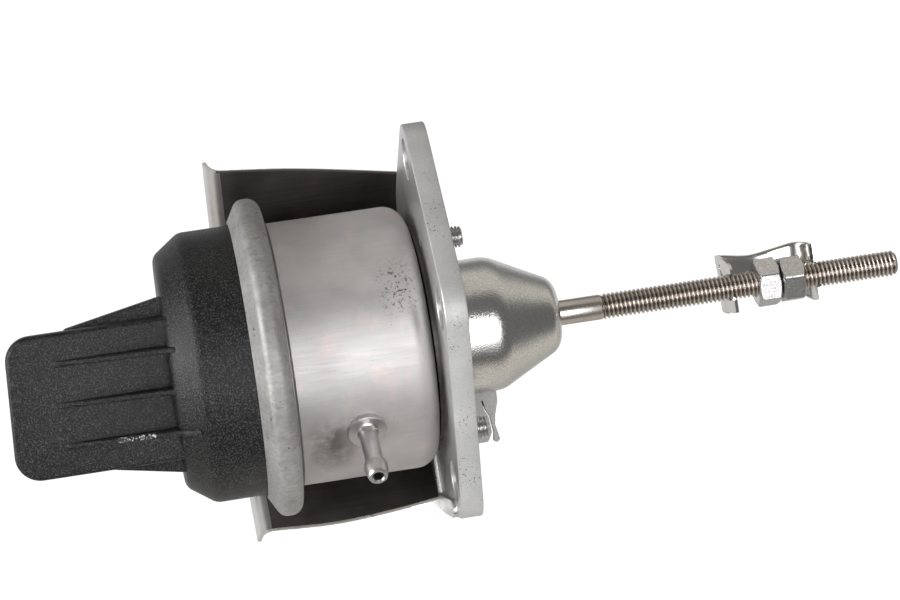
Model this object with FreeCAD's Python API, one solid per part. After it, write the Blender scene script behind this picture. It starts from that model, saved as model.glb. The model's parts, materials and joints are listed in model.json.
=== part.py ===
import FreeCAD, Part
import math
import os

# Boost pressure control valve: a vacuum can on a three-lobed flange, with a position sensor cap
# at one end and a threaded rod at the other. Millimetres. +X runs along the rod towards its free
# end, +Z is up, and the origin is the centre of the flange's front face, on the rod's axis.

# flange plate; each place is how far beyond the can's wall it lies, and its angle from +Y to +Z
can_r = 30.0
flange_t = 5.1
hole_a_place = (11.34, 107.6)
hole_b_place = (6.35, 172.09)
hole_c_place = (6.31, 247.32)
foot_pad_place = (5.17, 284.83)
hole_r = 4.5
lobe_a_r = 7.8
lobe_b_r = 8.8
lobe_c_r = 8.5
foot_pad_r = 8.0
back_rise = 9.2
flange_edge = 0.4

# heat shield
shield_t = 0.9
shield_rim_gap = 1.0
shield_half_angle = 42.0
shield_reach = 47.3
shield_lip_x = 1.1
shield_lip_r = 3.4
shield_bend_r = 3.0
shield_top_edge = ((-60.0, 26.4), (-46.0, 25.0), (-28.0, 22.4), (0.0, 16.2))
shield_bottom_edge = ((-60.0, 19.8), (-48.0, 19.7), (-31.0, 20.7), (-17.0, 19.7), (0.0, 17.2))
shield_base_inset = 1.5
shield_base_hole_r = 8.0
foot_web_side = 6.6
foot_web_low = ((-20.0, 9.4), (-10.6, 10.4), (-flange_t, 12.6))
foot_web_high = ((-flange_t, 6.5), (-20.0, 7.9))
foot_tab_r = 7.0
foot_tab_inset = 6.0
foot_toe_r = 3.6
foot_toe_side = 10.5

# vacuum can
can_t = 1.0
can_length = 32.0
can_corner_r = 5.0
can_band_w = 3.2
can_band_h = 0.4
rim_rise = 6.2
rim_flat = 5.6
rim_slant_x = 2.7
rim_slant_r = 4.6
rim_front_bend = 2.8
rim_back_bend = 2.0

# sensor cap
cap_rise = 0.8
cap_wall = 2.4
cap_length = 25.6
cap_chamfer_x = 6.4
cap_chamfer_r = 4.6
bead_t = 2.6
bead_gap = 1.6
bead_w = 3.4

# connector shroud, drawn square to the axes and then turned about the rod's axis
shroud_turn = 9.6
plate_far_x = -99.7
plate_skew = 0.8
plate_face_y = -22.0
plate_t = 2.6
plate_half_w = 16.0
plate_corner_r = 5.7
plate_edge_r = 0.9
web_start_x = -86.0
web_half_w = 19.8
web_inset = 0.4
web_step = 4.6
web_t = 2.6
neck_half_w = 13.0
neck_depth_y = -4.0
pocket_start = 9.0
pocket_gap = 3.0
pocket_inner_z = 5.0
pocket_side = 2.8
pocket_floor = 4.0
rib_count = 3
rib_pitch = 9.2
rib_w = 1.3
rib_start_x = -88.5
rib_end_x = -59.0
rib_top_y = -25.8
low_rib_x = -59.5
low_rib_y = -28.9
socket_l = 19.0
socket_w = 16.0
socket_wall = 2.0
socket_inset = 6.0
socket_floor_y = -7.0
socket_mouth_y = 5.0
socket_corner_r = 3.0

# sensor inside the cap
guide_tube_r = 7.0
guide_bore_r = 5.08
guide_floor = 1.1
carrier_r = 5.0
magnet_r = 3.0
magnet_l = 5.5
board_t = 1.2
board_l = 11.0
board_w = 14.0
chip_l = 4.0
chip_w = 4.0
chip_t = 0.9
pin_count = 3
pin_pitch = 5.0
pin_w = 0.8
pin_t = 0.8
pin_top_y = 0.5

# vacuum nipple
nipple_back = 17.5
nipple_turn = 38.5
nipple_r = 2.0
nipple_bore_r = 1.15
nipple_collar_r = 4.15
nipple_collar_h = 1.3
nipple_reach = 16.2
nipple_bulb_r = 2.6
nipple_bulb_l = 4.2

# rod and what it carries
rod_r = 2.78
thread_r = 2.95
thread_start = 36.1
thread_relief = 0.2
free_end_gap = 1.0
rod_tip = 105.8
rod_tip_chamfer = 1.0
tenon_r = 2.5
rivet_r = 4.0
rivet_h = 1.2
piston_rest_x = -44.6
cup_t = 1.0
cup_share = 0.697
cup_depth = 10.1
cup_bend_r = 1.5
washer_t = 1.5
washer_r = 7.0
rubber_t = 0.8
plate_disc_t = 1.2
plate_disc_inset = 5.9
roll_end_x = -30.5
roll_wall_gap = 1.0

# return spring, its seat and the rod's bush and seal
spring_wire_r = 1.1
spring_inset = 3.9
spring_turns = 5
spring_steps = 20
spring_sides = 8
seat_t = 1.0
seat_rise = 2.5
seat_lip_gap = 0.3
seat_lip_w = 3.6
seat_lip_h = 2.4
bush_r = 7.0
bush_flange_gap = 1.0
bush_flange_t = 1.6
bush_nose = 3.8
seal_lip_t = 1.0
seal_bevel = 1.2
retainer_r = 11.0
retainer_t = 0.8
retainer_hole_r = 3.6

# bell cover
bell_r = 15.4
bell_straight = 10.7
bell_length = 25.6
bell_nose_r = 7.7
bell_shoulder_bend = 2.0
bell_nose_bend = 4.0
bell_t = 0.8
bell_hole_r = 3.6

# studs
stud_inset = 5.0
stud_angles = (125.1, 245.1, 5.1)
stud_r = 2.45
stud_shank_r = 2.8
stud_reach = 4.6
stud_tip = 0.5

# nuts and lock clip
nut_flats = 10.0
nut_h = 5.4
nut_place = (8.2, 13.9)
nut_turns = (-15.0, -3.0)
clip_t = 0.8
clip_left_x = 64.0
clip_right_x = 88.1
clip_back_y = 6.9
clip_front_y = -1.6
clip_slant = 2.6
clip_bend_r = 1.6
clip_curl_r = 3.6
clip_tip_slant = 0.8
clip_height = 20.0
clip_top_edge = ((-0.08, 8.0), (0.1, 7.7), (0.37, 6.8), (0.62, 7.5), (0.83, 8.2), (0.94, 7.7), (1.04, 5.6))
clip_low_edge = ((1.04, -4.2), (0.96, -5.9), (0.87, -4.4), (0.855, -2.2), (0.215, -2.2), (0.19, -4.6),
                 (0.1, -6.1), (-0.08, -4.2))

# anchor tab under the bell
tab_t = 1.2
tab_side_y = 7.0
tab_low_z = -27.1
tab_top_gap = 0.3
tab_leaf = ((9.7, -18.6), (8.6, -20.4), (7.5, -22.6), (7.9, -24.2), (8.9, -25.4), (8.8, -26.8), (7.6, -27.3),
            (6.9, -26.2), (6.6, -23.6), (5.6, -20.0), (5.2, -17.2), (4.9, -17.3), (4.7, -25.2), (3.3, -27.1))

# clearances
fit = 0.1
running = 0.05
stud_clear = 0.25

axis_x = FreeCAD.Vector(1, 0, 0)
origin = FreeCAD.Vector(0, 0, 0)

# sizes and places that follow from the sizes above
rim_r = can_r + rim_rise
cap_r = can_r + cap_rise
cap_end_r = cap_r - cap_chamfer_r
bead_r = rim_r - bead_gap
back_r = can_r + back_rise
shield_base_r = can_r - shield_base_inset
cup_r = can_r * cup_share
plate_disc_r = cup_r - plate_disc_inset
roll_outer_r = can_r - can_t - roll_wall_gap
spring_mean_r = cup_r - spring_inset
seat_r = spring_mean_r + seat_rise
seat_lip_r = spring_mean_r - spring_wire_r - seat_lip_gap
seat_hole_r = seat_lip_r - seat_lip_w
bush_flange_r = seat_hole_r - bush_flange_gap
stud_ring_r = can_r - stud_inset
flange_back_x = -flange_t
can_front_x = flange_back_x - shield_t
can_inner_x = can_front_x - can_t
shoulder_x = can_front_x - can_length
rim_apex_x = shoulder_x - rim_flat
bead_front_x = shoulder_x - can_t
cap_front_x = bead_front_x - bead_t
cap_end_x = shoulder_x - cap_length - 0.5
cap_inner_x = cap_end_x + cap_wall
shield_r = rim_r + shield_rim_gap + shield_t
rubber_x = piston_rest_x - cup_t
disc_x = rubber_x - rubber_t
disc_end_x = disc_x - plate_disc_t
seat_x = can_inner_x - seat_t
seal_x = can_inner_x + bush_nose


def polar(place):
    """The (y, z) of a place given as its distance beyond the can's wall and its angle."""
    reach = can_r + place[0]
    return reach * math.cos(math.radians(place[1])), reach * math.sin(math.radians(place[1]))


hole_a = polar(hole_a_place)
hole_b = polar(hole_b_place)
hole_c = polar(hole_c_place)
foot_pad = polar(foot_pad_place)


def at(x, y, z):
    return FreeCAD.Vector(x, y, z)


def tube(x0, x1, outer_r, inner_r=0.0):
    body = Part.makeCylinder(outer_r, x1 - x0, at(x0, 0, 0), axis_x)
    if inner_r > 0:
        body = body.cut(Part.makeCylinder(inner_r, x1 - x0 + 2, at(x0 - 1, 0, 0), axis_x))
    return body


def turned(points):
    """Revolve a closed outline of (x, r) points about the rod's axis."""
    corners = [at(x, 0, r) for x, r in points]
    face = Part.Face(Part.makePolygon(corners + [corners[0]]))
    return face.revolve(origin, axis_x, 360)


def prism(points, y0, y1):
    """Extrude a closed outline of (x, z) points along Y."""
    corners = [at(x, y0, z) for x, z in points]
    face = Part.Face(Part.makePolygon(corners + [corners[0]]))
    return face.extrude(at(0, y1 - y0, 0))


def box(x0, x1, y0, y1, z0, z1):
    return Part.makeBox(x1 - x0, y1 - y0, z1 - z0, at(x0, y0, z0))


def turn_about_rod(shape, degrees):
    moved = shape.copy()
    moved.rotate(origin, axis_x, degrees)
    return moved


def rounded_path(points, radii, place):
    """Open wire through the points, each inner corner rounded by its own radius."""
    corners = [place(*point) for point in points]
    edges = []
    start = corners[0]
    for corner, after, radius in zip(corners[1:-1], corners[2:], radii):
        back = (start - corner).normalize()
        ahead = (after - corner).normalize()
        half = back.getAngle(ahead) / 2
        run = radius / math.tan(half)
        middle = (back + ahead).normalize() * (radius / math.sin(half) - radius)
        first = corner + back * run
        last = corner + ahead * run
        if (first - start).Length > 1e-6:
            edges.append(Part.makeLine(start, first))
        edges.append(Part.Arc(first, corner + middle, last).toShape())
        start = last
    if (corners[-1] - start).Length > 1e-6:
        edges.append(Part.makeLine(start, corners[-1]))
    return Part.Wire(edges)


def sheet_face(points, radii, thickness, place):
    """Face of a bent sheet: the path is one side, and the thickness lies to its other side."""
    return rounded_path(points, radii, place).makeOffset2D(thickness, 0, True, True, False)


def in_xr(x, r):
    return at(x, 0, r)


def in_xy(x, y):
    return at(x, y, 0)


def side_of(face, point):
    return face.isInside(point, 1e-6, True)


def spun_sheet_through(points, radii, thickness, inside):
    """Spun sheet whose thickness lies on the side where the (x, r) point is."""
    face = sheet_face(points, radii, thickness, in_xr)
    if not side_of(face, in_xr(*inside)):
        face = sheet_face(points, radii, -thickness, in_xr)
    return face.revolve(origin, axis_x, 360)


def circle_hull(circles, x0, x1):
    """Plate whose outline wraps circles given as (y, z, r), in order round the plate."""
    edges = []
    points = []
    count = len(circles)
    for index in range(count):
        y1, z1, r1 = circles[index]
        y2, z2, r2 = circles[(index + 1) % count]
        length = math.hypot(y2 - y1, z2 - z1)
        dy = (y2 - y1) / length
        dz = (z2 - z1) / length
        lean = (r1 - r2) / length
        lift = math.sqrt(1 - lean * lean)
        ny = lean * dy - lift * dz
        nz = lean * dz + lift * dy
        points.append((at(x0, y1 + r1 * ny, z1 + r1 * nz), at(x0, y2 + r2 * ny, z2 + r2 * nz), ny, nz))
    for index in range(count):
        y, z, r = circles[index]
        before = points[index - 1]
        after = points[index]
        mid_y = before[2] + after[2]
        mid_z = before[3] + after[3]
        size = math.hypot(mid_y, mid_z)
        crown = at(x0, y + r * mid_y / size, z + r * mid_z / size)
        edges.append(Part.Arc(before[1], crown, after[0]).toShape())
        edges.append(Part.makeLine(after[0], after[1]))
    return Part.Face(Part.Wire(edges)).extrude(at(x1 - x0, 0, 0))


def stud_places():
    return [(stud_ring_r * math.cos(math.radians(a)), stud_ring_r * math.sin(math.radians(a)))
            for a in stud_angles]


def round_hole(y, z, r, x0, x1):
    return Part.makeCylinder(r, x1 - x0, at(x0, y, z), axis_x)


def make_flange_plate():
    plate = circle_hull([
        hole_a + (lobe_a_r,),
        (0.0, 0.0, back_r),
        foot_pad + (foot_pad_r,),
        hole_c + (lobe_c_r,),
        hole_b + (lobe_b_r,),
    ], flange_back_x, 0)
    outline = [e for e in plate.Edges if abs(e.BoundBox.XLength) < 1e-6]
    plate = plate.makeChamfer(flange_edge, outline)
    for y, z in (hole_a, hole_b, hole_c):
        plate = plate.cut(round_hole(y, z, hole_r, flange_back_x - 1, 1))
    for y, z in stud_places():
        plate = plate.cut(round_hole(y, z, stud_shank_r + running, flange_back_x - 1, 1))
    plate = plate.cut(box(flange_back_x - 1, 1, tab_side_y - fit, tab_side_y + tab_t + fit, tab_low_z - fit, 0))
    return plate.cut(tube(flange_back_x - 1, 1, bell_r + fit))


def wall_profile(path, bends):
    """Section of bent sheet whose outside follows the path."""
    inside = in_xy((flange_back_x - shield_reach) / 2, shield_r - shield_t / 2)
    face = sheet_face(path, bends, shield_t, in_xy)
    if not side_of(face, inside):
        face = sheet_face(path, bends, -shield_t, in_xy)
    return face


def make_heat_shield():
    """Trough of bent sheet: a round back, two flat walls, a flared end and a base under the can."""
    wall_path = [(flange_back_x, shield_r), (-shield_reach, shield_r),
                 (-shield_reach - shield_lip_x, shield_r + shield_lip_r)]
    back = wall_profile([(flange_back_x, shield_base_hole_r)] + wall_path, [shield_bend_r, shield_bend_r])
    back.rotate(origin, axis_x, -shield_half_angle)
    shield = back.revolve(origin, axis_x, 2 * shield_half_angle)
    shield = shield.fuse(tube(can_front_x, flange_back_x, shield_base_r, shield_base_hole_r))
    for side, edge in ((1, shield_top_edge), (-1, shield_bottom_edge)):
        wall = wall_profile(wall_path, [shield_bend_r]).extrude(at(0, 0, side * shield_r))
        outline = [(edge[0][0], 0.0), (edge[-1][0], 0.0)] + [(x, side * l) for x, l in reversed(edge)]
        wall = wall.common(prism(outline, 0, shield_r + 10))
        shield = shield.fuse(turn_about_rod(wall, side * shield_half_angle))
    shield = shield.fuse(make_shield_foot())
    for y, z in stud_places():
        shield = shield.cut(round_hole(y, z, stud_shank_r + stud_clear, can_front_x - 1, 0))
    return shield.removeSplitter()


def make_shield_foot():
    """Tab on the flange's back with a curved web up to the lower wall's near edge."""
    y, z = foot_pad
    web_y = y + foot_web_side
    tab = circle_hull([(web_y - 1.0, foot_tab_inset - can_r, foot_tab_r), (web_y - 1.0, z - 0.5, foot_tab_r),
                       (y - foot_toe_side, z - foot_toe_r, foot_toe_r)], can_front_x, flange_back_x)
    low = [at(x, web_y, -can_r - down) for x, down in foot_web_low]
    high = [at(x, web_y, -can_r - down) for x, down in foot_web_high]
    web = Part.Wire([Part.Arc(low[0], low[1], low[2]).toShape()]
                    + Part.makePolygon([low[2], high[0], high[1], low[0]]).Edges)
    return tab.fuse(Part.Face(web).extrude(at(0, shield_t, 0)))


def rim_path():
    slant_x = rim_apex_x - rim_slant_x
    slant_r = rim_r - rim_slant_r
    band_x = shoulder_x + can_band_w
    path = [(can_front_x, bush_r), (can_front_x, can_r), (band_x + 0.6, can_r), (band_x, can_r + can_band_h),
            (shoulder_x, can_r + can_band_h), (shoulder_x, rim_r), (rim_apex_x, rim_r), (slant_x, slant_r)]
    return path, [can_corner_r, 0.8, 0.8, 0.8, rim_front_bend, rim_back_bend]


def make_vacuum_can():
    path, bends = rim_path()
    can = spun_sheet_through(path, bends, can_t, (can_front_x - can_length / 2, can_r - can_t / 2))
    return can.cut(nipple_frame(Part.makeCylinder(nipple_r, 10, at(0, 0, can_r - 5))))


def slant_inside(gap):
    """The line inside the rolled rim's slanted lip, moved in by the sheet and a gap."""
    length = math.hypot(rim_slant_x, rim_slant_r)
    nx = rim_slant_r / length * (can_t + gap)
    nr = -rim_slant_x / length * (can_t + gap)
    return (rim_apex_x + nx, rim_r + nr), (rim_apex_x - rim_slant_x + nx, rim_r - rim_slant_r + nr)


def on_slant(r):
    (x1, r1), (x2, r2) = slant_inside(fit)
    return x1 + (x2 - x1) * (r1 - r) / (r1 - r2)


def make_cap_shell():
    flange_r = rim_r - can_t - 3 * fit
    inner_r = cap_r - cap_wall
    chamfer_start = cap_end_x + cap_chamfer_x
    outer = [(cap_front_x, inner_r), (cap_front_x, flange_r), (on_slant(flange_r), flange_r),
             (on_slant(cap_r), cap_r), (chamfer_start, cap_r), (cap_end_x, cap_end_r)]
    floor_r = cap_end_r - cap_wall * 0.6
    inner = [(cap_end_x, 0.0), (cap_inner_x, 0.0), (cap_inner_x, floor_r), (chamfer_start + 0.6, inner_r)]
    return turned(outer + inner)


def rounded_slab(x0, x1, half_w, y0, y1, corner_r, skew):
    """Slab with its two far corners rounded and its far edge leaning by the skew at each corner."""
    slab = prism([(x0 - skew, -half_w), (x0 + skew, half_w), (x1, half_w), (x1, -half_w)], y0, y1)
    middle = (x0 + x1) / 2
    corners = [e for e in slab.Edges if e.BoundBox.YLength > abs(y1 - y0) - 1e-3 and e.BoundBox.XMax < middle]
    return slab.makeFillet(corner_r, corners)


def make_shroud():
    """Connector shroud: face plate, neck that widens to the cap, socket and ribs, square to the axes."""
    into_cap = cap_inner_x - 0.5
    plate = rounded_slab(plate_far_x, into_cap, plate_half_w, plate_face_y, plate_face_y + plate_t,
                         plate_corner_r, plate_skew)
    face_edges = [e for e in plate.Edges if e.BoundBox.YMax < plate_face_y + 1e-3 and e.BoundBox.XMin < -70]
    plate = plate.makeFillet(plate_edge_r, face_edges)
    plate_back_y = plate_face_y + plate_t - 0.2
    web_y = plate_face_y + web_step
    start_w = plate_half_w - web_inset
    web = prism([(web_start_x, -start_w), (web_start_x, start_w), (cap_end_x, web_half_w),
                 (into_cap, web_half_w - 0.5), (into_cap, -web_half_w + 0.5), (cap_end_x, -web_half_w)],
                web_y, web_y + web_t)
    foot = box(web_start_x, into_cap, plate_back_y, web_y + web_t, -start_w, start_w)
    neck = box(web_start_x, into_cap, plate_back_y, neck_depth_y, -neck_half_w, neck_half_w)
    socket_x = plate_far_x + socket_inset
    shell = box(socket_x - socket_wall, socket_x + socket_l + socket_wall, plate_back_y, socket_mouth_y,
                -socket_w / 2 - socket_wall, socket_w / 2 + socket_wall)
    upright = [e for e in shell.Edges if e.BoundBox.YLength > 5]
    shell = shell.makeFillet(socket_corner_r, upright)
    hollow = box(socket_x, socket_x + socket_l, socket_floor_y, socket_mouth_y + 1, -socket_w / 2, socket_w / 2)
    hollow = hollow.makeFillet(socket_corner_r - 1.0, [e for e in hollow.Edges if e.BoundBox.YLength > 5])
    shroud = plate.fuse([web, foot, neck, shell])
    for index in range(rib_count):
        z = (index - (rib_count - 1) / 2) * rib_pitch
        end_x, end_y = (low_rib_x, low_rib_y) if index == 0 else (rib_end_x, rib_top_y)
        rib = prism_in_xy([(rib_start_x, plate_face_y + 0.2), (rib_start_x, plate_face_y),
                           (cap_end_x, rib_top_y), (end_x, end_y), (end_x, plate_face_y + 0.2)],
                          z - rib_w / 2, z + rib_w / 2)
        shroud = shroud.fuse(rib)
    for side in (-1, 1):
        ends = sorted((side * pocket_inner_z, side * (neck_half_w - pocket_side)))
        shroud = shroud.cut(box(web_start_x + pocket_start, cap_end_x - pocket_gap,
                                plate_face_y + plate_t + pocket_floor, neck_depth_y + 1, ends[0], ends[1]))
    return shroud.cut(hollow)


def prism_in_xy(points, z0, z1):
    corners = [at(x, y, z0) for x, y in points]
    face = Part.Face(Part.makePolygon(corners + [corners[0]]))
    return face.extrude(at(0, 0, z1 - z0))


def board_face_y():
    return -guide_tube_r - chip_t


def make_circuit_board():
    y = board_face_y()
    board = box(cap_inner_x, cap_inner_x + board_l, y - board_t, y, -board_w / 2, board_w / 2)
    return turn_about_rod(board, shroud_turn)


def make_sensor_chip():
    x = cap_inner_x + board_l * 0.45
    y = board_face_y()
    chip = box(x, x + chip_l, y, y + chip_t, -chip_w / 2, chip_w / 2)
    return turn_about_rod(chip, shroud_turn)


def make_connector_pins():
    """Flat contacts that leave the board, cross the neck and turn up into the socket."""
    y = board_face_y() - board_t
    socket_mid = plate_far_x + socket_inset + socket_l / 2
    pins = []
    for index in range(pin_count):
        z = (index - (pin_count - 1) / 2) * pin_pitch
        path = prism_in_xy([(cap_inner_x + 4.0, y), (cap_inner_x + 4.0, y - pin_t), (socket_mid, y - pin_t),
                            (socket_mid, pin_top_y), (socket_mid + pin_t, pin_top_y), (socket_mid + pin_t, y)],
                           z - pin_w / 2, z + pin_w / 2)
        pins.append(turn_about_rod(path, shroud_turn))
    return Part.makeCompound(pins)


def make_sensor_cap():
    cap = make_cap_shell().fuse(turn_about_rod(make_shroud(), shroud_turn))
    inside = turned([(cap_front_x, 0), (cap_front_x, cap_r - cap_wall),
                     (cap_end_x + cap_chamfer_x + 0.6, cap_r - cap_wall),
                     (cap_inner_x, cap_end_r - cap_wall * 0.6), (cap_inner_x, 0)])
    cap = cap.cut(inside)
    tube_end = disc_end_x - 0.8
    cap = cap.fuse(tube(cap_inner_x - 0.5, tube_end, guide_tube_r))
    cap = cap.cut(tube(cap_end_x + guide_floor, tube_end + 1, guide_bore_r))
    return cap.cut(make_connector_pins()).removeSplitter()


def nipple_frame(shape):
    """Turn a shape drawn along +Z so that it points out of the can at the nipple."""
    moved = shape.copy()
    moved.rotate(origin, axis_x, 90 + nipple_turn)
    moved.translate(at(can_front_x - nipple_back, 0, 0))
    return moved


def make_vacuum_nipple():
    tip = can_r + nipple_reach
    bulb = tip - nipple_bulb_l
    outline = [(nipple_bore_r, can_r - can_t - 0.6), (nipple_r, can_r - can_t - 0.6), (nipple_r, bulb - 0.9),
               (nipple_bulb_r, bulb), (nipple_bulb_r, bulb + 1.6), (nipple_r + 0.1, tip - 0.4),
               (nipple_r - 0.2, tip), (nipple_bore_r, tip)]
    corners = [at(r, 0, h) for r, h in outline]
    tube_part = Part.Face(Part.makePolygon(corners + [corners[0]])).revolve(origin, at(0, 0, 1), 360)
    collar = Part.makeCylinder(nipple_collar_r, nipple_collar_h + 1, at(0, 0, can_r - 1))
    collar = collar.cut(Part.makeCylinder(nipple_r - 0.2, 10, at(0, 0, can_r - 5)))
    top = [e for e in collar.Edges if e.BoundBox.ZMin > can_r and e.BoundBox.XLength > 2 * nipple_r + 1]
    collar = collar.makeFillet(0.4, top)
    collar = nipple_frame(collar).cut(tube(can_front_x - nipple_back - 8, can_front_x - nipple_back + 8, can_r))
    return collar.fuse(nipple_frame(tube_part)).removeSplitter()


def make_bell_cover():
    path = [(flange_back_x, bell_r), (bell_straight, bell_r), (bell_length, bell_nose_r), (bell_length, bell_hole_r)]
    return spun_sheet_through(path, [bell_shoulder_bend, bell_nose_bend], bell_t,
                              (bell_straight / 2, bell_r - bell_t / 2))


def make_can_studs():
    studs = []
    for y, z in stud_places():
        stud = round_hole(y, z, stud_r, 0, stud_reach)
        tip = [e for e in stud.Edges if e.BoundBox.XMin > stud_reach - 1e-3]
        shank = round_hole(y, z, stud_shank_r, can_front_x, 0)
        studs.append(stud.makeChamfer(stud_tip, tip).fuse(shank))
    return Part.makeCompound(studs)


def make_anchor_tab():
    """Sheet leaf that stands in a slot of the flange: a block, a slit and a hooked finger."""
    leaf_top = -bell_r - tab_top_gap
    outline = ((flange_back_x, leaf_top), (tab_leaf[0][0], leaf_top)) + tab_leaf
    outline = outline + ((0.0, tab_low_z), (flange_back_x, tab_low_z))
    return prism(outline, tab_side_y, tab_side_y + tab_t)


def make_rod():
    shoulder = piston_rest_x + washer_t
    tenon = tube(disc_end_x, shoulder, tenon_r)
    rivet = turned([(disc_end_x, 0), (disc_end_x, rivet_r), (disc_end_x - rivet_h * 0.5, rivet_r),
                    (disc_end_x - rivet_h, rivet_r - 0.8), (disc_end_x - rivet_h, 0)])
    shank = tube(shoulder, thread_start, rod_r)
    free_end = clip_right_x + free_end_gap
    thread = turned([(thread_start, 0), (thread_start, rod_r - thread_relief),
                     (thread_start + thread_relief, rod_r), (free_end, rod_r), (free_end, thread_r),
                     (rod_tip - rod_tip_chamfer, thread_r), (rod_tip, thread_r - rod_tip_chamfer), (rod_tip, 0)])
    return tenon.fuse([rivet, shank, thread]).removeSplitter()


def make_piston_cup():
    path = [(rubber_x, tenon_r), (rubber_x, cup_r), (rubber_x + cup_depth, cup_r)]
    return spun_sheet_through(path, [cup_bend_r], cup_t, (rubber_x + cup_t / 2, cup_r / 2))


def make_diaphragm():
    """Rolling diaphragm: head on the cup, one deep roll, and a bead held in the can's rim."""
    inner_r = cup_r + rubber_t
    half_roll = (roll_outer_r - inner_r) / 2 - 0.001
    path = [(disc_x, tenon_r), (disc_x, inner_r), (roll_end_x, inner_r), (roll_end_x, roll_outer_r),
            (cap_front_x, roll_outer_r), (cap_front_x, bead_r - bead_w + 0.5)]
    bends = [cup_bend_r + rubber_t, half_roll, half_roll, 2.0]
    sheet = spun_sheet_through(path, bends, rubber_t, (disc_x + rubber_t / 2, cup_r / 2))
    corner = rim_front_bend - can_t
    bead = turned([(cap_front_x, bead_r - bead_w), (cap_front_x, bead_r), (bead_front_x - corner, bead_r),
                   (bead_front_x, bead_r - corner), (bead_front_x, bead_r - bead_w)])
    return sheet.fuse(bead).removeSplitter()


def make_clamp_plate():
    plate = tube(disc_end_x, disc_x, plate_disc_r, tenon_r)
    edge = [e for e in plate.Edges if e.BoundBox.XMax < disc_end_x + 1e-3 and e.BoundBox.YLength > 2 * tenon_r + 1]
    return plate.makeFillet(0.5, edge)


def make_rod_washer():
    return tube(piston_rest_x, piston_rest_x + washer_t, washer_r, tenon_r)


def make_return_spring():
    """Coil with an eight-sided wire, ruled from section to section."""
    start = piston_rest_x + spring_wire_r + fit
    length = seat_x - spring_wire_r - fit - start
    rise = length / (spring_turns * 2 * math.pi)
    sections = []
    for step in range(spring_turns * spring_steps + 1):
        angle = 2 * math.pi * step / spring_steps
        outward = at(0, math.cos(angle), math.sin(angle))
        along = at(rise, -spring_mean_r * math.sin(angle), spring_mean_r * math.cos(angle)).normalize()
        across = along.cross(outward)
        middle = outward * spring_mean_r + at(start + rise * angle, 0, 0)
        corners = []
        for side in range(spring_sides + 1):
            turn = 2 * math.pi * (side % spring_sides) / spring_sides
            corners.append(middle + (outward * math.cos(turn) + across * math.sin(turn)) * spring_wire_r)
        sections.append(Part.makePolygon(corners))
    return Part.makeLoft(sections, True, True)


def make_spring_seat():
    return turned([(can_inner_x, seat_hole_r), (can_inner_x, seat_r), (seat_x, seat_r), (seat_x, seat_lip_r),
                   (seat_x - seat_lip_h, seat_lip_r - 0.4), (seat_x - seat_lip_h, seat_lip_r - 1.4),
                   (seat_x, seat_lip_r - 1.4), (seat_x, seat_hole_r)])


def make_guide_bush():
    bore_r = rod_r + running
    return turned([(can_inner_x - bush_flange_t, bore_r), (can_inner_x - bush_flange_t, bush_flange_r - 0.5),
                   (can_inner_x - bush_flange_t + 0.5, bush_flange_r), (can_inner_x, bush_flange_r),
                   (can_inner_x, bush_r), (seal_x, bush_r), (seal_x, bore_r)])


def make_rod_seal():
    lip_r = rod_r + running
    lip_x = seal_x + seal_bevel
    return turned([(seal_x, bush_r), (seal_x, lip_r + seal_bevel), (lip_x, lip_r), (lip_x + seal_lip_t / 2, lip_r),
                   (lip_x + seal_lip_t, lip_r + seal_bevel), (0, lip_r + seal_bevel), (0, bush_r)])


def make_seal_retainer():
    """Drawn cup round the seal, its brim on the shield's base."""
    brim_x = flange_back_x + retainer_t
    wall_r = bush_r + retainer_t
    return turned([(flange_back_x, bush_r), (flange_back_x, retainer_r), (brim_x, retainer_r), (brim_x, wall_r),
                   (retainer_t, wall_r), (retainer_t, retainer_hole_r), (0, retainer_hole_r), (0, bush_r)])


def make_magnet_carrier():
    end_x = cap_end_x + guide_floor + 0.4
    carrier = tube(end_x, disc_end_x, carrier_r)
    carrier = carrier.cut(tube(disc_end_x - rivet_h - fit, disc_end_x + 1, rivet_r + fit))
    return carrier.cut(tube(end_x - 1, end_x + magnet_l + 0.4, magnet_r))


def make_sensor_magnet():
    end_x = cap_end_x + guide_floor + 0.8
    return tube(end_x, end_x + magnet_l, magnet_r)


def hex_nut(x, turn):
    corner_r = nut_flats / math.sqrt(3)
    points = [(corner_r * math.cos(math.radians(60 * k + turn)),
               corner_r * math.sin(math.radians(60 * k + turn))) for k in range(6)]
    corners = [at(x, y, z) for y, z in points]
    body = Part.Face(Part.makePolygon(corners + [corners[0]])).extrude(at(nut_h, 0, 0))
    flat_r = nut_flats / 2 - 0.1
    slope = math.tan(math.radians(30))
    drop = (corner_r - flat_r) * slope
    crown = turned([(x, 0), (x, flat_r), (x + drop, corner_r), (x + nut_h - drop, corner_r),
                    (x + nut_h, flat_r), (x + nut_h, 0)])
    return body.common(crown).cut(tube(x - 1, x + nut_h + 1, rod_r + running))


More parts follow.
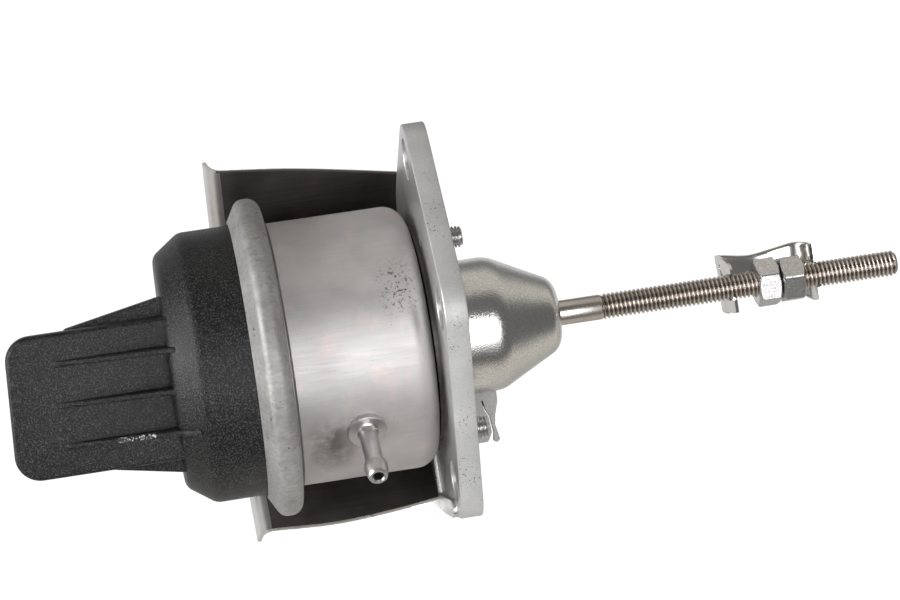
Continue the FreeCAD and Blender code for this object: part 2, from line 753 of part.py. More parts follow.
def make_lock_clip():
    """Strip bent round the nuts from behind; both ends fork over the rod and end in points."""
    path = [(clip_left_x + clip_slant, clip_front_y), (clip_left_x, clip_back_y), (clip_right_x, clip_back_y),
            (clip_right_x - clip_tip_slant, clip_front_y)]
    face = sheet_face(path, [clip_bend_r, clip_curl_r], clip_t, in_xy)
    if not side_of(face, in_xy((clip_left_x + clip_right_x) / 2, clip_back_y - clip_t / 2)):
        face = sheet_face(path, [clip_bend_r, clip_curl_r], -clip_t, in_xy)
    strip = face.extrude(at(0, 0, clip_height))
    strip.translate(at(0, 0, -clip_height / 2))
    length = clip_right_x - clip_left_x
    upper = [at(clip_left_x + share * length, 0, z) for share, z in clip_top_edge]
    lower = [at(clip_left_x + share * length, 0, z) for share, z in clip_low_edge]
    top = Part.BSplineCurve()
    top.interpolate(upper)
    corners = upper[-1:] + lower + upper[:1]
    wire = Part.Wire([top.toShape()] + Part.makePolygon(corners).Edges)
    mask = Part.Face(wire).extrude(at(0, clip_height, 0))
    mask.translate(at(0, -clip_height / 2, 0))
    slot_r = thread_r + running
    slot = tube(clip_left_x - 2, clip_right_x + 2, slot_r)
    slot = slot.fuse(box(clip_left_x - 2, clip_right_x + 2, clip_front_y - 2, 0, -slot_r, slot_r))
    return strip.common(mask).cut(slot)


def save(name, shape):
    solids = shape.Solids
    whole = solids[0] if len(solids) == 1 else Part.makeCompound(solids)
    if not whole.isValid() or not solids:
        print("not valid:", name)
    whole.exportStep("parts/" + name + ".step")
    print(name, len(solids), round(whole.Volume, 2))


os.makedirs("parts", exist_ok=True)

save("flange_plate", make_flange_plate())
save("vacuum_can", make_vacuum_can())
save("vacuum_nipple", make_vacuum_nipple())
save("sensor_cap", make_sensor_cap())
save("heat_shield", make_heat_shield())
save("bell_cover", make_bell_cover())
save("can_studs", make_can_studs())
save("anchor_tab", make_anchor_tab())
save("guide_bush", make_guide_bush())
save("rod_seal", make_rod_seal())
save("seal_retainer", make_seal_retainer())
save("spring_seat", make_spring_seat())
save("return_spring", make_return_spring())
save("diaphragm", make_diaphragm())
save("circuit_board", make_circuit_board())
save("sensor_chip", make_sensor_chip())
save("connector_pins", make_connector_pins())
save("rod", make_rod())
save("piston_cup", make_piston_cup())
save("clamp_plate", make_clamp_plate())
save("rod_washer", make_rod_washer())
save("magnet_carrier", make_magnet_carrier())
save("sensor_magnet", make_sensor_magnet())
save("adjusting_nut", hex_nut(clip_left_x + nut_place[0], nut_turns[0]))
save("lock_nut", hex_nut(clip_left_x + nut_place[1], nut_turns[1]))
save("lock_clip", make_lock_clip())
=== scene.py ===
import json
import math

import bmesh
import bpy
from mathutils import Matrix, Vector, noise


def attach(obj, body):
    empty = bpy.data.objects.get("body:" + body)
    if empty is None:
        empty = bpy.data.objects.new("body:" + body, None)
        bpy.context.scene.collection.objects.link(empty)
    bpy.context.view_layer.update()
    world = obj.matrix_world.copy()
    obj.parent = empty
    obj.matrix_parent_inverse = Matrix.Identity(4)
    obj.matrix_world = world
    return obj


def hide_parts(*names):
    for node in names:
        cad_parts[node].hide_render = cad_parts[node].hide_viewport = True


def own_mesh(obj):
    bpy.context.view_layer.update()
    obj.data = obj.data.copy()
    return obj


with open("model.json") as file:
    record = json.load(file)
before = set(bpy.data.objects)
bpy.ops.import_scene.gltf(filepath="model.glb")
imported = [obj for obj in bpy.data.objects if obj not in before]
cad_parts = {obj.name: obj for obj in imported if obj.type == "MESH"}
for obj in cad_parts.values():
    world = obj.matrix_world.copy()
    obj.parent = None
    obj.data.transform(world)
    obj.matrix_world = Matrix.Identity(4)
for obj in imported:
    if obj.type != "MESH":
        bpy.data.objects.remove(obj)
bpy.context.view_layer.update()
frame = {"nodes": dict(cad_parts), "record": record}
milli = 0.001
facing = 0.6  # a face looks one way when its normal's share in that way is above this
print("frame loaded")


# building blocks, in millimetres

def clamped(value):
    return min(1.0, max(0.0, value))


def spun(x, r, angle):
    return x, r * math.cos(angle), r * math.sin(angle)


# unevenness of a turned surface at one of its points
def uneven(x, angle, along, around, amount):
    return amount * noise.noise(Vector(spun(x * along, around, angle)))


def rectangle(x1, x2, z1, z2):
    return [(x1, z1), (x2, z1), (x2, z2), (x1, z2)]


# unit normal of a flat line at one of its points, and how much a mitre there stretches
def away(points, index, closed):
    count = len(points)
    before = points[(index - 1) % count] if closed or index > 0 else None
    after = points[(index + 1) % count] if closed or index < count - 1 else None
    here = Vector(points[index])
    sides = []
    for start, end in ((before, here), (here, after)):
        if start is None or end is None:
            continue
        run = Vector(end) - Vector(start)
        if run.length > 1e-9:
            run.normalize()
            sides.append(Vector((-run.y, run.x)))
    normal = sum(sides, Vector((0.0, 0.0)))
    normal.normalize()
    return normal, 1 / max(0.5, normal.dot(sides[0]))


def shifted(points, distance, closed=False):
    moved = []
    for index, point in enumerate(points):
        normal, stretch = away(points, index, closed)
        moved.append(tuple(Vector(point) + normal * distance * stretch))
    return moved


# flat line with its corners rounded, one radius for each inner corner, or for every corner if closed
def rounded(points, radii, steps=7, closed=False):
    count = len(points)
    line = [] if closed else [tuple(points[0])]
    picks = range(count) if closed else range(1, count - 1)
    for index, radius in zip(picks, radii):
        corner = Vector(points[index])
        back = (Vector(points[index - 1]) - corner).normalized()
        ahead = (Vector(points[(index + 1) % count]) - corner).normalized()
        half = back.angle(ahead) / 2
        if radius < 1e-6 or half > math.pi / 2 - 1e-4:
            line.append(tuple(corner))
            continue
        first = corner + back * radius / math.tan(half)
        last = corner + ahead * radius / math.tan(half)
        centre = corner + (back + ahead).normalized() * radius / math.sin(half)
        turn = math.copysign(math.pi - 2 * half, (first - centre).cross(last - centre))
        for step in range(steps + 1):
            line.append(tuple(centre + Matrix.Rotation(turn * step / steps, 2) @ (first - centre)))
    if not closed:
        line.append(tuple(points[-1]))
    return line


# the same line with no run longer than the given length
def finer(points, longest):
    line = [tuple(points[0])]
    for start, end in zip(points, points[1:]):
        pieces = max(1, math.ceil((Vector(end) - Vector(start)).length / longest))
        for step in range(1, pieces + 1):
            line.append(tuple(Vector(start).lerp(Vector(end), step / pieces)))
    return line


# closed outline of a sheet: the line is one side, the other lies to its left
def sheetLoop(line, thickness):
    return list(line) + list(reversed(shifted(line, thickness)))


# faces between rows of points that close on themselves: the rows form a ring, or a tube with capped ends
def wrapped(rows, around, ring=False):
    faces = []
    for i in range(rows if ring else rows - 1):
        after = (i + 1) % rows
        for j in range(around):
            k = (j + 1) % around
            faces.append((i * around + j, i * around + k, after * around + k, after * around + j))
    if not ring:
        faces += [tuple(range(around)), tuple(range((rows - 1) * around, rows * around))]
    return faces


# faces of a sheet whose far side repeats the points of its near side, closed at its first and last row
def skin(rows, across, edges=True):
    faces = []
    far = rows * across
    for i in range(rows - 1):
        for j in range(across - 1):
            a, b = i * across + j, (i + 1) * across + j
            faces += [(a, a + 1, b + 1, b), tuple(v + far for v in (b, b + 1, a + 1, a))]
    for i in (0, rows - 1):
        for a in range(i * across, (i + 1) * across - 1):
            faces.append((a, a + 1, a + 1 + far, a + far))
    for a in range(far - across) if edges else ():
        if a % across in (0, across - 1):
            faces.append((a, a + across, a + across + far, a + far))
    return faces


# closed (x, r) outline turned about the rod's axis; shape changes a point's radius by its angle
def lathe(profile, steps=160, shape=None):
    verts = []
    for i in range(steps):
        angle = 2 * math.pi * i / steps
        verts += [spun(x, shape(x, r, angle) if shape else r, angle) for x, r in profile]
    return verts, wrapped(steps, len(profile), True)


# solid with a flat (x, z) outline: each level is (inset, y), from one face to the other
def slab(outline, levels):
    verts = []
    for inset, height in levels:
        verts += [(a, height, b) for a, b in shifted(outline, inset, True)]
    return verts, wrapped(len(levels), len(outline))


# the same with a (y, z) outline and its levels along x
def slabAlongX(outline, levels):
    verts, faces = slab([(z, y) for y, z in outline], levels)
    return [(x, y, z) for z, x, y in verts], faces


# levels for a slab whose edges are rounded by the given amount
def softLevels(low, high, edge):
    turns = [math.radians(a) for a in (0, 30, 60, 90)]
    start = [(edge * (1 - math.sin(t)), low + edge * (1 - math.cos(t))) for t in turns]
    return start + [(inset, high - (height - low)) for inset, height in reversed(start)]


def joined(parts):
    verts, faces = [], []
    for partVerts, partFaces in parts:
        base = len(verts)
        verts += partVerts
        faces += [tuple(i + base for i in face) for face in partFaces]
    return verts, faces


def placed(part, matrix):
    return [tuple(matrix @ Vector(v)) for v in part[0]], part[1]


def linked(name, data):
    made = bpy.data.objects.new(name, data)
    bpy.context.collection.objects.link(made)
    return made


def shapeOf(item):
    return bpy.data.meshes.new_from_object(item.evaluated_get(bpy.context.evaluated_depsgraph_get()))


def meshOf(part):
    mesh = bpy.data.meshes.new("part")
    mesh.from_pydata([tuple(c * milli for c in v) for v in part[0]], [], part[1])
    work = bmesh.new()
    work.from_mesh(mesh)
    bmesh.ops.remove_doubles(work, verts=work.verts, dist=2e-7)
    bmesh.ops.dissolve_degenerate(work, edges=work.edges, dist=1e-8)
    bmesh.ops.recalc_face_normals(work, faces=work.faces)
    work.to_mesh(mesh)
    work.free()
    return mesh


# the mesh with the cutters' space taken out
def cutBy(mesh, cutters):
    body = linked("body", mesh)
    tools = [linked("tool", meshOf(cutter)) for cutter in cutters]
    for tool in tools:
        step = body.modifiers.new("cut", "BOOLEAN")
        step.operation = "DIFFERENCE"
        step.solver = "EXACT"
        step.object = tool
    result = shapeOf(body)
    for item in tools + [body]:
        bpy.data.objects.remove(item)
    return result


def addPiece(name, mesh, looks, body, nodes, sharp):
    mesh.name = name
    picked = [face.material_index for face in mesh.polygons]
    mesh.materials.clear()
    for look in looks:
        mesh.materials.append(look)
    for face, index in zip(mesh.polygons, picked):
        face.material_index = min(index, len(looks) - 1)
        face.use_smooth = True
    mesh.set_sharp_from_angle(angle=math.radians(sharp))
    piece = linked(name, mesh)
    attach(piece, body)
    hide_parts(*nodes)
    return piece


# give each face the look's number that choose returns for its centre and normal
def pickFaces(mesh, choose):
    for face in mesh.polygons:
        face.material_index = choose(face.center / milli, face.normal)


# materials

def startLook(name):
    look = bpy.data.materials.new(name)
    look.use_nodes = True
    tree = look.node_tree
    return look, tree, tree.nodes["Principled BSDF"]


def add(tree, kind, **settings):
    made = tree.nodes.new("ShaderNode" + kind)
    for key, value in settings.items():
        setattr(made, key, value)
    return made


# a socket takes a colour, a number or another node's output
def feed(tree, value, socket):
    if isinstance(value, tuple):
        socket.default_value = (*value, 1)
    elif isinstance(value, (int, float)):
        socket.default_value = value
    else:
        tree.links.new(value, socket)


def calc(tree, kind, first, second=0.0):
    work = add(tree, "Math", operation=kind)
    feed(tree, first, work.inputs[0])
    feed(tree, second, work.inputs[1])
    return work.outputs["Value"]


def blended(tree, share, first, second):
    mix = add(tree, "Mix", data_type="RGBA")
    for key, kind, value in (("Factor", "VALUE", share), ("A", "RGBA", first), ("B", "RGBA", second)):
        feed(tree, value, [s for s in mix.inputs if s.name == key and s.type == kind][0])
    return [s for s in mix.outputs if s.type == "RGBA"][0]


def stepped(tree, value, low, high, start=0.0, end=1.0):
    change = add(tree, "MapRange")
    change.clamp = True
    for key, number in zip(("From Min", "From Max", "To Min", "To Max"), (low, high, start, end)):
        change.inputs[key].default_value = number
    tree.links.new(value, change.inputs["Value"])
    return change.outputs["Result"]


# noise whose scale is in features per millimetre, stretched along the part's own axes
def grainAt(tree, scale, detail=4.0, stretch=(1, 1, 1), rough=0.6, turn=(0, 0, 0)):
    lay = add(tree, "Mapping")
    lay.inputs["Scale"].default_value = [s * scale / milli for s in stretch]
    lay.inputs["Rotation"].default_value = turn
    tree.links.new(add(tree, "TexCoord").outputs["Object"], lay.inputs["Vector"])
    grain = add(tree, "TexNoise")
    for key, number in (("Scale", 1.0), ("Detail", detail), ("Roughness", rough)):
        grain.inputs[key].default_value = number
    tree.links.new(lay.outputs["Vector"], grain.inputs["Vector"])
    return grain.outputs["Fac"]


# a texture coordinate, and its x, y and z
def splitPlace(tree, space="Object"):
    place = add(tree, "TexCoord").outputs[space]
    split = add(tree, "SeparateXYZ")
    tree.links.new(place, split.inputs["Vector"])
    return place, split.outputs


def fromRodAxis(tree, axes):
    squares = [calc(tree, "MULTIPLY", axes[name], axes[name]) for name in "YZ"]
    return calc(tree, "SQRT", calc(tree, "ADD", *squares))


def raised(tree, shader, height, strength, depth):
    lift = add(tree, "Bump")
    lift.inputs["Strength"].default_value = strength
    lift.inputs["Distance"].default_value = depth * milli
    tree.links.new(height, lift.inputs["Height"])
    tree.links.new(lift.outputs["Normal"], shader.inputs["Normal"])


metalSkin = {"cloudScale": 0.09, "cloudRange": (0.35, 0.68), "stainScale": 0.16, "stainRange": (0.55, 0.72),
             "lineRange": (0.3, 0.72), "lineShade": 0.62, "pitRange": (0.70, 0.735), "pitSink": 2.0,
             "clusterScale": 0.13, "clusterRange": (0.50, 0.60), "lineGloss": 0.22, "cloudGloss": 0.10,
             "smoother": 0.14}


# metal with cloudy patches, brushing lines along one direction, and small pits in clusters
def metalLook(name, base, patch, rough, brush, stretch=(1, 1, 1), lines=0.4, pits=0.0, stain=None,
              depth=0.02, pitTone=(0.12, 0.11, 0.1), pitScale=1.6, metal=1.0):
    look, tree, shader = startLook(name)
    shader.inputs["Metallic"].default_value = metal
    cloud = stepped(tree, grainAt(tree, metalSkin["cloudScale"], 5.0), *metalSkin["cloudRange"])
    tone = blended(tree, cloud, base, patch)
    if stain:
        spots = grainAt(tree, metalSkin["stainScale"], 6.0, turn=(0.7, 0.3, 1.1))
        tone = blended(tree, stepped(tree, spots, *metalSkin["stainRange"], 0.0, stain[3]), tone, stain[:3])
    streak = grainAt(tree, brush, 3.0, stretch)
    shade = tuple(c * metalSkin["lineShade"] for c in base)
    tone = blended(tree, stepped(tree, streak, *metalSkin["lineRange"], 0.0, lines), tone, shade)
    height = streak
    if pits:
        pitRange = [edge - pits for edge in metalSkin["pitRange"]]
        holes = stepped(tree, grainAt(tree, pitScale, 2.0, rough=0.4), *pitRange)
        cluster = grainAt(tree, metalSkin["clusterScale"], 3.0, turn=(1.9, 0.4, 0.2))
        holes = calc(tree, "MULTIPLY", holes, stepped(tree, cluster, *metalSkin["clusterRange"]))
        tone = blended(tree, holes, tone, pitTone)
        height = calc(tree, "SUBTRACT", streak, calc(tree, "MULTIPLY", holes, metalSkin["pitSink"]))
    tree.links.new(tone, shader.inputs["Base Color"])
    gloss = calc(tree, "ADD", calc(tree, "MULTIPLY", streak, metalSkin["lineGloss"]),
                 calc(tree, "MULTIPLY", cloud, metalSkin["cloudGloss"]))
    tree.links.new(calc(tree, "ADD", gloss, rough - metalSkin["smoother"]), shader.inputs["Roughness"])
    raised(tree, shader, height, 0.5, depth)
    return look


plasticSkin = {"fleckRange": (0.51, 0.62), "cloudScale": 0.07, "cloudRange": (0.3, 0.7), "cloudShare": 0.35,
               "cloudShade": 0.6, "grainGloss": 0.3, "cloudGloss": 0.12, "smoother": 0.2}


# moulded plastic with a fine fleck and a grained skin
def plasticLook(name, base, fleck, rough, size, share=0.5, depth=0.03, gloss=0.5):
    look, tree, shader = startLook(name)
    grain = grainAt(tree, size, 2.0, rough=0.7)
    cloud = stepped(tree, grainAt(tree, plasticSkin["cloudScale"], 4.0), *plasticSkin["cloudRange"])
    tone = blended(tree, stepped(tree, grain, *plasticSkin["fleckRange"], 0.0, share), base, fleck)
    shade = tuple(c * plasticSkin["cloudShade"] for c in base)
    tone = blended(tree, calc(tree, "MULTIPLY", cloud, plasticSkin["cloudShare"]), tone, shade)
    tree.links.new(tone, shader.inputs["Base Color"])
    sheen = calc(tree, "ADD", calc(tree, "MULTIPLY", grain, plasticSkin["grainGloss"]),
                 calc(tree, "MULTIPLY", cloud, plasticSkin["cloudGloss"]))
    tree.links.new(calc(tree, "ADD", sheen, rough - plasticSkin["smoother"]), shader.inputs["Roughness"])
    shader.inputs["Specular IOR Level"].default_value = gloss
    raised(tree, shader, grain, 0.9, depth)
    return look


thread = {"rootR": 2.40, "crestR": 2.92, "root": (0.20, 0.165, 0.14), "crest": (0.80, 0.74, 0.69),
          "dull": (0.42, 0.36, 0.31)}


# rolled thread with bright crests and brownish grooves: the distance from the axis picks the tone
def threadLook():
    look, tree, shader = startLook("rodThread")
    shader.inputs["Metallic"].default_value = 1.0
    radius = fromRodAxis(tree, splitPlace(tree)[1])
    crest = stepped(tree, radius, thread["rootR"] * milli, thread["crestR"] * milli)
    grain = grainAt(tree, 4.0, 4.0)
    tone = blended(tree, crest, thread["root"], thread["crest"])
    tone = blended(tree, stepped(tree, grain, 0.42, 0.75, 0.0, 0.5), tone, thread["dull"])
    tree.links.new(tone, shader.inputs["Base Color"])
    tree.links.new(stepped(tree, grain, 0.3, 0.7, 0.20, 0.36), shader.inputs["Roughness"])
    raised(tree, shader, grain, 0.3, 0.03)
    return look


# specks, smudges or painted shade of one tone inside a soft-edged box, in millimetres of the part's own axes
def addMarksAndShade(look, low, high, tone, scale, picked, soft):
    tree = look.node_tree
    shader = tree.nodes["Principled BSDF"]
    axes = splitPlace(tree)[1]
    share = stepped(tree, grainAt(tree, scale, 3.0, rough=0.7), *picked)
    for axis, start, end in zip("XYZ", low, high):
        for border, inward in ((start, soft), (end, -soft)):
            inside = stepped(tree, axes[axis], border * milli, (border + inward) * milli)
            share = calc(tree, "MULTIPLY", share, inside)
    before = shader.inputs["Base Color"].links[0].from_socket
    tree.links.new(blended(tree, share, before, tone), shader.inputs["Base Color"])


aroundAxis = (1.0, 0.035, 0.035)
alongAxis = (0.035, 1.0, 1.0)
looks = {
    "can": metalLook("canSteel", (0.50, 0.487, 0.487), (0.60, 0.586, 0.582), rough=0.56, brush=3.0,
                     stretch=alongAxis, lines=0.10, pits=-0.03, stain=(0.72, 0.58, 0.55, 0.6), depth=0.006,
                     pitTone=(0.16, 0.15, 0.14), pitScale=2.2, metal=0.92),
    "rim": metalLook("rimSteel", (0.29, 0.285, 0.28), (0.40, 0.395, 0.385), rough=0.58, brush=1.2,
                     stretch=(0.5, 1, 1), lines=0.50, pits=0.06, stain=(0.20, 0.195, 0.19, 0.75),
                     depth=0.05, pitTone=(0.14, 0.135, 0.13), pitScale=1.0, metal=0.7),
    "flange": metalLook("flangeSteel", (0.42, 0.42, 0.42), (0.51, 0.51, 0.505), rough=0.56, brush=2.5,
                        stretch=(0.5, 1, 1), lines=0.25, pits=0.06, depth=0.03,
                        pitTone=(0.12, 0.115, 0.11), pitScale=2.2, metal=0.5),
    "flangeBack": metalLook("flangeGround", (0.60, 0.60, 0.60), (0.68, 0.68, 0.675), rough=0.36, brush=2.0,
                            lines=0.3, metal=0.85),
    "leaf": metalLook("leafSheet", (0.28, 0.276, 0.268), (0.34, 0.335, 0.325), rough=0.56, brush=2.0,
                      lines=0.3, pits=0.04, pitTone=(0.1, 0.1, 0.1), pitScale=1.8, metal=0.8),
    # painted shade and light: a dark copy of the shield's sheet for its shaded faces, and its bright side,
    # also used as painted light on lit faces
    "shieldShade": metalLook("shieldPaintedShade", (0.10, 0.094, 0.088), (0.15, 0.14, 0.13), rough=0.46, brush=2.0,
                          stretch=alongAxis, metal=0.9),
    "shieldOutAndLit": metalLook("shieldBrightAndLit", (0.66, 0.65, 0.635), (0.74, 0.73, 0.71), rough=0.30, brush=3.0,
                           stretch=alongAxis, lines=0.3, metal=0.9),
    "cutEdge": metalLook("cutEdge", (0.80, 0.79, 0.77), (0.45, 0.44, 0.42), rough=0.28, brush=2.2,
                         lines=0.9, pits=0.07, depth=0.2, pitTone=(0.1, 0.09, 0.08), pitScale=1.3),
    "bell": metalLook("bellSteel", (0.88, 0.865, 0.83), (0.80, 0.79, 0.77), rough=0.15, brush=3.0,
                      lines=0.75, depth=0.10),
    "bright": metalLook("brightSteel", (0.66, 0.65, 0.64), (0.56, 0.555, 0.55), rough=0.27, brush=5.0,
                        stretch=aroundAxis, lines=0.3),
    "nipple": metalLook("nippleSteel", (0.54, 0.53, 0.52), (0.61, 0.60, 0.59), rough=0.32, brush=4.0,
                        lines=0.25, depth=0.01),
    "nut": metalLook("nutPlate", (0.84, 0.835, 0.82), (0.74, 0.73, 0.72), rough=0.22, brush=1.9,
                     stretch=(1.6, 0.35, 1.3), lines=1.0, depth=0.13),
    "clip": metalLook("clipSteel", (0.80, 0.785, 0.75), (0.74, 0.72, 0.68), rough=0.15, brush=0.35,
                      stretch=(1, 1, 0.5), lines=0.1, depth=0.10),
    "shank": metalLook("rodShank", (0.66, 0.62, 0.57), (0.58, 0.54, 0.50), rough=0.26, brush=6.0,
                       stretch=aroundAxis, lines=0.3, depth=0.01),
    "thread": threadLook(),
    "spring": metalLook("springSteel", (0.45, 0.45, 0.46), (0.36, 0.36, 0.37), rough=0.36, brush=5.0,
                        lines=0.3),
    "bronze": metalLook("bushBronze", (0.62, 0.47, 0.27), (0.55, 0.40, 0.22), rough=0.34, brush=5.0,
                        stretch=aroundAxis, lines=0.3),
    "pins": metalLook("pinMetal", (0.72, 0.68, 0.55), (0.62, 0.58, 0.46), rough=0.26, brush=5.0, lines=0.2),
    "magnet": metalLook("magnetIron", (0.30, 0.30, 0.31), (0.22, 0.22, 0.23), rough=0.48, brush=3.0,
                        pits=0.03),
    "cap": plasticLook("capPlastic", (0.001, 0.001, 0.001), (0.050, 0.050, 0.053), rough=0.38, size=3.1,
                       share=1.0, depth=0.15, gloss=0.31),
    "rubber": plasticLook("sealRubber", (0.02, 0.02, 0.02), (0.05, 0.05, 0.05), rough=0.62, size=3.0,
                          share=0.4),
    "board": plasticLook("boardGreen", (0.04, 0.20, 0.09), (0.08, 0.30, 0.14), rough=0.38, size=1.2,
                         share=0.4),
    "carrier": plasticLook("carrierPlastic", (0.75, 0.74, 0.70), (0.62, 0.61, 0.57), rough=0.45, size=2.0,
                           share=0.3),
}

# white marks on the cap's lowest rib, a pitted spot on the can near the flange, and painted shadow of the
# nipple on the can beside it, towards the rim
addMarksAndShade(looks["cap"], low=(-77.5, -24.6, -13.7), high=(-69.0, -21.4, -12.3), tone=(0.50, 0.50, 0.53),
        scale=1.7, picked=(0.52, 0.62), soft=0.3)
addMarksAndShade(looks["can"], low=(-18.0, -34.0, 4.0), high=(-7.0, -20.0, 18.0), tone=(0.15, 0.14, 0.14),
        scale=1.5, picked=(0.555, 0.60), soft=4.0)
# painted shadow: a dark patch on the can beside the nipple, where its shadow falls
addMarksAndShade(looks["can"], low=(-39.0, -30.0, -29.0), high=(-24.0, -10.0, -13.0), tone=(0.20, 0.18, 0.18),
        scale=0.22, picked=(0.24, 0.60), soft=6.0)
print("materials made")


# inner nodes keep their solids and take the finish that their slot asks for

innerLooks = {"bright_steel": "bright", "bush_bronze": "bronze", "seal_rubber": "rubber",
              "spring_steel": "spring", "board_green": "board", "cap_plastic": "cap", "pin_metal": "pins",
              "carrier_plastic": "carrier", "magnet_iron": "magnet"}
slotOf = {item["node"]: item["material_slot"] for item in frame["record"]["subparts"]}
for nodeName, nodeObject in frame["nodes"].items():
    if slotOf[nodeName] in innerLooks:
        for place in nodeObject.material_slots:
            place.material = looks[innerLooks[slotOf[nodeName]]]
print("inner nodes dressed")


# the can with its rolled rim, which is never quite round

can = {"frontX": -6.5, "openR": 15.2, "r": 30.0, "bandX": -37.8, "grooveR": 29.3, "groove": 0.35,
       "shoulderX": -38.6, "rimR": 36.2, "apexX": -43.6, "slantX": -46.3, "slantR": 31.3, "sheet": 1.0,
       "lipX": -44.5, "lipWide": 1.8, "radii": [5.0, 0.15, 0.15, 0.2, 2.8, 2.4]}
canLine = rounded([(can["frontX"], can["openR"]), (can["frontX"], can["r"]), (can["bandX"], can["r"]),
                   (can["bandX"] - can["groove"], can["grooveR"]), (can["shoulderX"], can["grooveR"]),
                   (can["shoulderX"], can["rimR"]), (can["apexX"], can["rimR"]),
                   (can["slantX"], can["slantR"])], can["radii"], 10)


def canShape(x, r, angle):
    if x >= can["shoulderX"] + 0.5:
        return r + uneven(x, angle, 0.12, 1.6, 0.05)
    soft, fine = (noise.noise(Vector((math.cos(angle) * size, math.sin(angle) * size, layer)))
                  for size, layer in ((3.1, 4.0), (16, 9.0)))
    return r + soft * 0.12 + clamped((can["lipX"] - x) / can["lipWide"]) * fine * 0.16


canMesh = meshOf(lathe(sheetLoop(finer(canLine, 3.0), can["sheet"]), 220, canShape))
pickFaces(canMesh, lambda centre, normal: 1 if centre.x < can["bandX"] - 0.5 else 0)
addPiece("canDrawn", canMesh, [looks["can"], looks["rim"]], "housing", ["vacuum_can"], 40)

# the nipple: a collar on the can and a tube with a bulb, as (r, height) outlines

nipple = {"x": -23.5, "turn": 128.5, "foot": 28.6, "tip": 46.2, "r": 2.0, "boreR": 1.15, "bulbR": 2.65,
          "bulbAt": 42.9, "collarR": 4.3, "collarTop": 31.2, "collarH": 2.2}
tubeR, boreR, bulbR, collarR = (nipple[key] for key in ("r", "boreR", "bulbR", "collarR"))
foot, collarTop, bulbAt, tip = (nipple[key] for key in ("foot", "collarTop", "bulbAt", "tip"))
tubeLine = [(boreR, foot), (tubeR, foot), (tubeR + 0.5, collarTop), (tubeR + 0.15, collarTop + 0.7),
            (tubeR, collarTop + 1.4), (tubeR, bulbAt - 1.9), (bulbR - 0.1, bulbAt - 0.8), (bulbR, bulbAt),
            (bulbR - 0.1, bulbAt + 0.8), (tubeR + 0.25, tip - 0.9), (tubeR + 0.1, tip - 0.3),
            (tubeR - 0.15, tip), (boreR + 0.25, tip), (boreR, tip - 0.3)]
collarFoot = collarTop - nipple["collarH"]
collarLine = [(1.6, collarFoot), (collarR, collarFoot), (collarR, collarTop - 0.45),
              (collarR - 0.12, collarTop - 0.15), (collarR - 0.4, collarTop), (collarR - 1.4, collarTop),
              (2.5, collarTop + 0.15), (2.1, collarTop + 0.6), (1.6, collarTop + 0.8)]
turnUp = (Matrix.Translation((nipple["x"], 0, 0)) @ Matrix.Rotation(math.radians(nipple["turn"]), 4, "X")
          @ Matrix.Rotation(math.radians(-90), 4, "Y"))
nippleParts = [placed(lathe([(h, r) for r, h in line], 64), turnUp) for line in (tubeLine, collarLine)]
addPiece("vacuumNippleTurned", meshOf(joined(nippleParts)), [looks["nipple"]], "housing",
         ["vacuum_nipple"], 38)
print("can and nipple made")


# the flange: a thick plate with rounded lobes, holes and a softened edge

flange = {"backX": -5.1, "edge": 0.35, "bolts": [(-12.5, 39.4), (-36.0, 5.0), (-14.0, -33.5)], "boltR": 4.5,
          "studs": [(-14.37, 20.45), (-10.53, -22.67), (24.9, 2.22)], "studR": 2.85, "centreR": 15.5,
          "lobes": [(-12.5, 39.4, 7.8), (0.0, 0.0, 39.2), (9.0, -34.0, 8.0), (-14.0, -33.5, 8.5),
                    (-36.0, 5.0, 8.8)], "leafSlot": (6.9, 8.3, -27.2, -14.9)}
flangeHoles = [(y, z, flange["boltR"]) for y, z in flange["bolts"]]
flangeHoles += [(y, z, flange["studR"]) for y, z in flange["studs"]] + [(0.0, 0.0, flange["centreR"])]


# outline that wraps (y, z, r) circles listed clockwise
def hull(circles, steps=14):
    normals = []
    for index, (y1, z1, r1) in enumerate(circles):
        y2, z2, r2 = circles[(index + 1) % len(circles)]
        run = Vector((y2 - y1, z2 - z1))
        along = run.normalized()
        lean = (r1 - r2) / run.length
        normals.append(lean * along + math.sqrt(1 - lean * lean) * Vector((-along.y, along.x)))
    line = []
    for index, (y, z, r) in enumerate(circles):
        before, after = normals[index - 1], normals[index]
        turn = math.atan2(before.cross(after), before.dot(after))
        turn = turn if turn <= 0.05 else turn - 2 * math.pi
        for step in range(steps + 1):
            line.append(tuple(Vector((y, z)) + r * (Matrix.Rotation(turn * step / steps, 2) @ before)))
    return line


def circle(y, z, r, steps=48):
    turns = [2 * math.pi * i / steps for i in range(steps)]
    return [(y + r * math.cos(turn), z + r * math.sin(turn)) for turn in turns]


# filled outlines with holes, given thickness and rounded edges, as a mesh centred on its own plane
def flatSolid(name, outlines, thickness, edge):
    curve = bpy.data.curves.new(name, "CURVE")
    curve.dimensions = "2D"
    curve.fill_mode = "BOTH"
    for line in outlines:
        spline = curve.splines.new("POLY")
        spline.points.add(len(line) - 1)
        for point, (a, b) in zip(spline.points, line):
            point.co = (a * milli, b * milli, 0, 1)
        spline.use_cyclic_u = True
    curve.extrude = (thickness / 2 - edge) * milli
    curve.bevel_depth = edge * milli
    curve.bevel_resolution = 2
    curve.offset = -edge * milli
    holder = linked(name, curve)
    mesh = shapeOf(holder)
    bpy.data.objects.remove(holder)
    return mesh


flangeLines = [hull(flange["lobes"])] + [circle(*hole) for hole in flangeHoles]
flangeLines.append(rectangle(*flange["leafSlot"]))
plateMesh = flatSolid("flangePlate", flangeLines, -flange["backX"], flange["edge"])
middleX = flange["backX"] / 2 * milli
plateMesh.transform(Matrix(((0, 0, 1, middleX), (1, 0, 0, 0), (0, 1, 0, 0), (0, 0, 0, 1))))


# the back and the holes' walls are ground bright
def flangeSide(centre, normal):
    near = any(math.hypot(centre.y - y, centre.z - z) < r + 0.25 for y, z, r in flangeHoles)
    return 1 if normal.x < -facing or near and normal.x < facing else 0


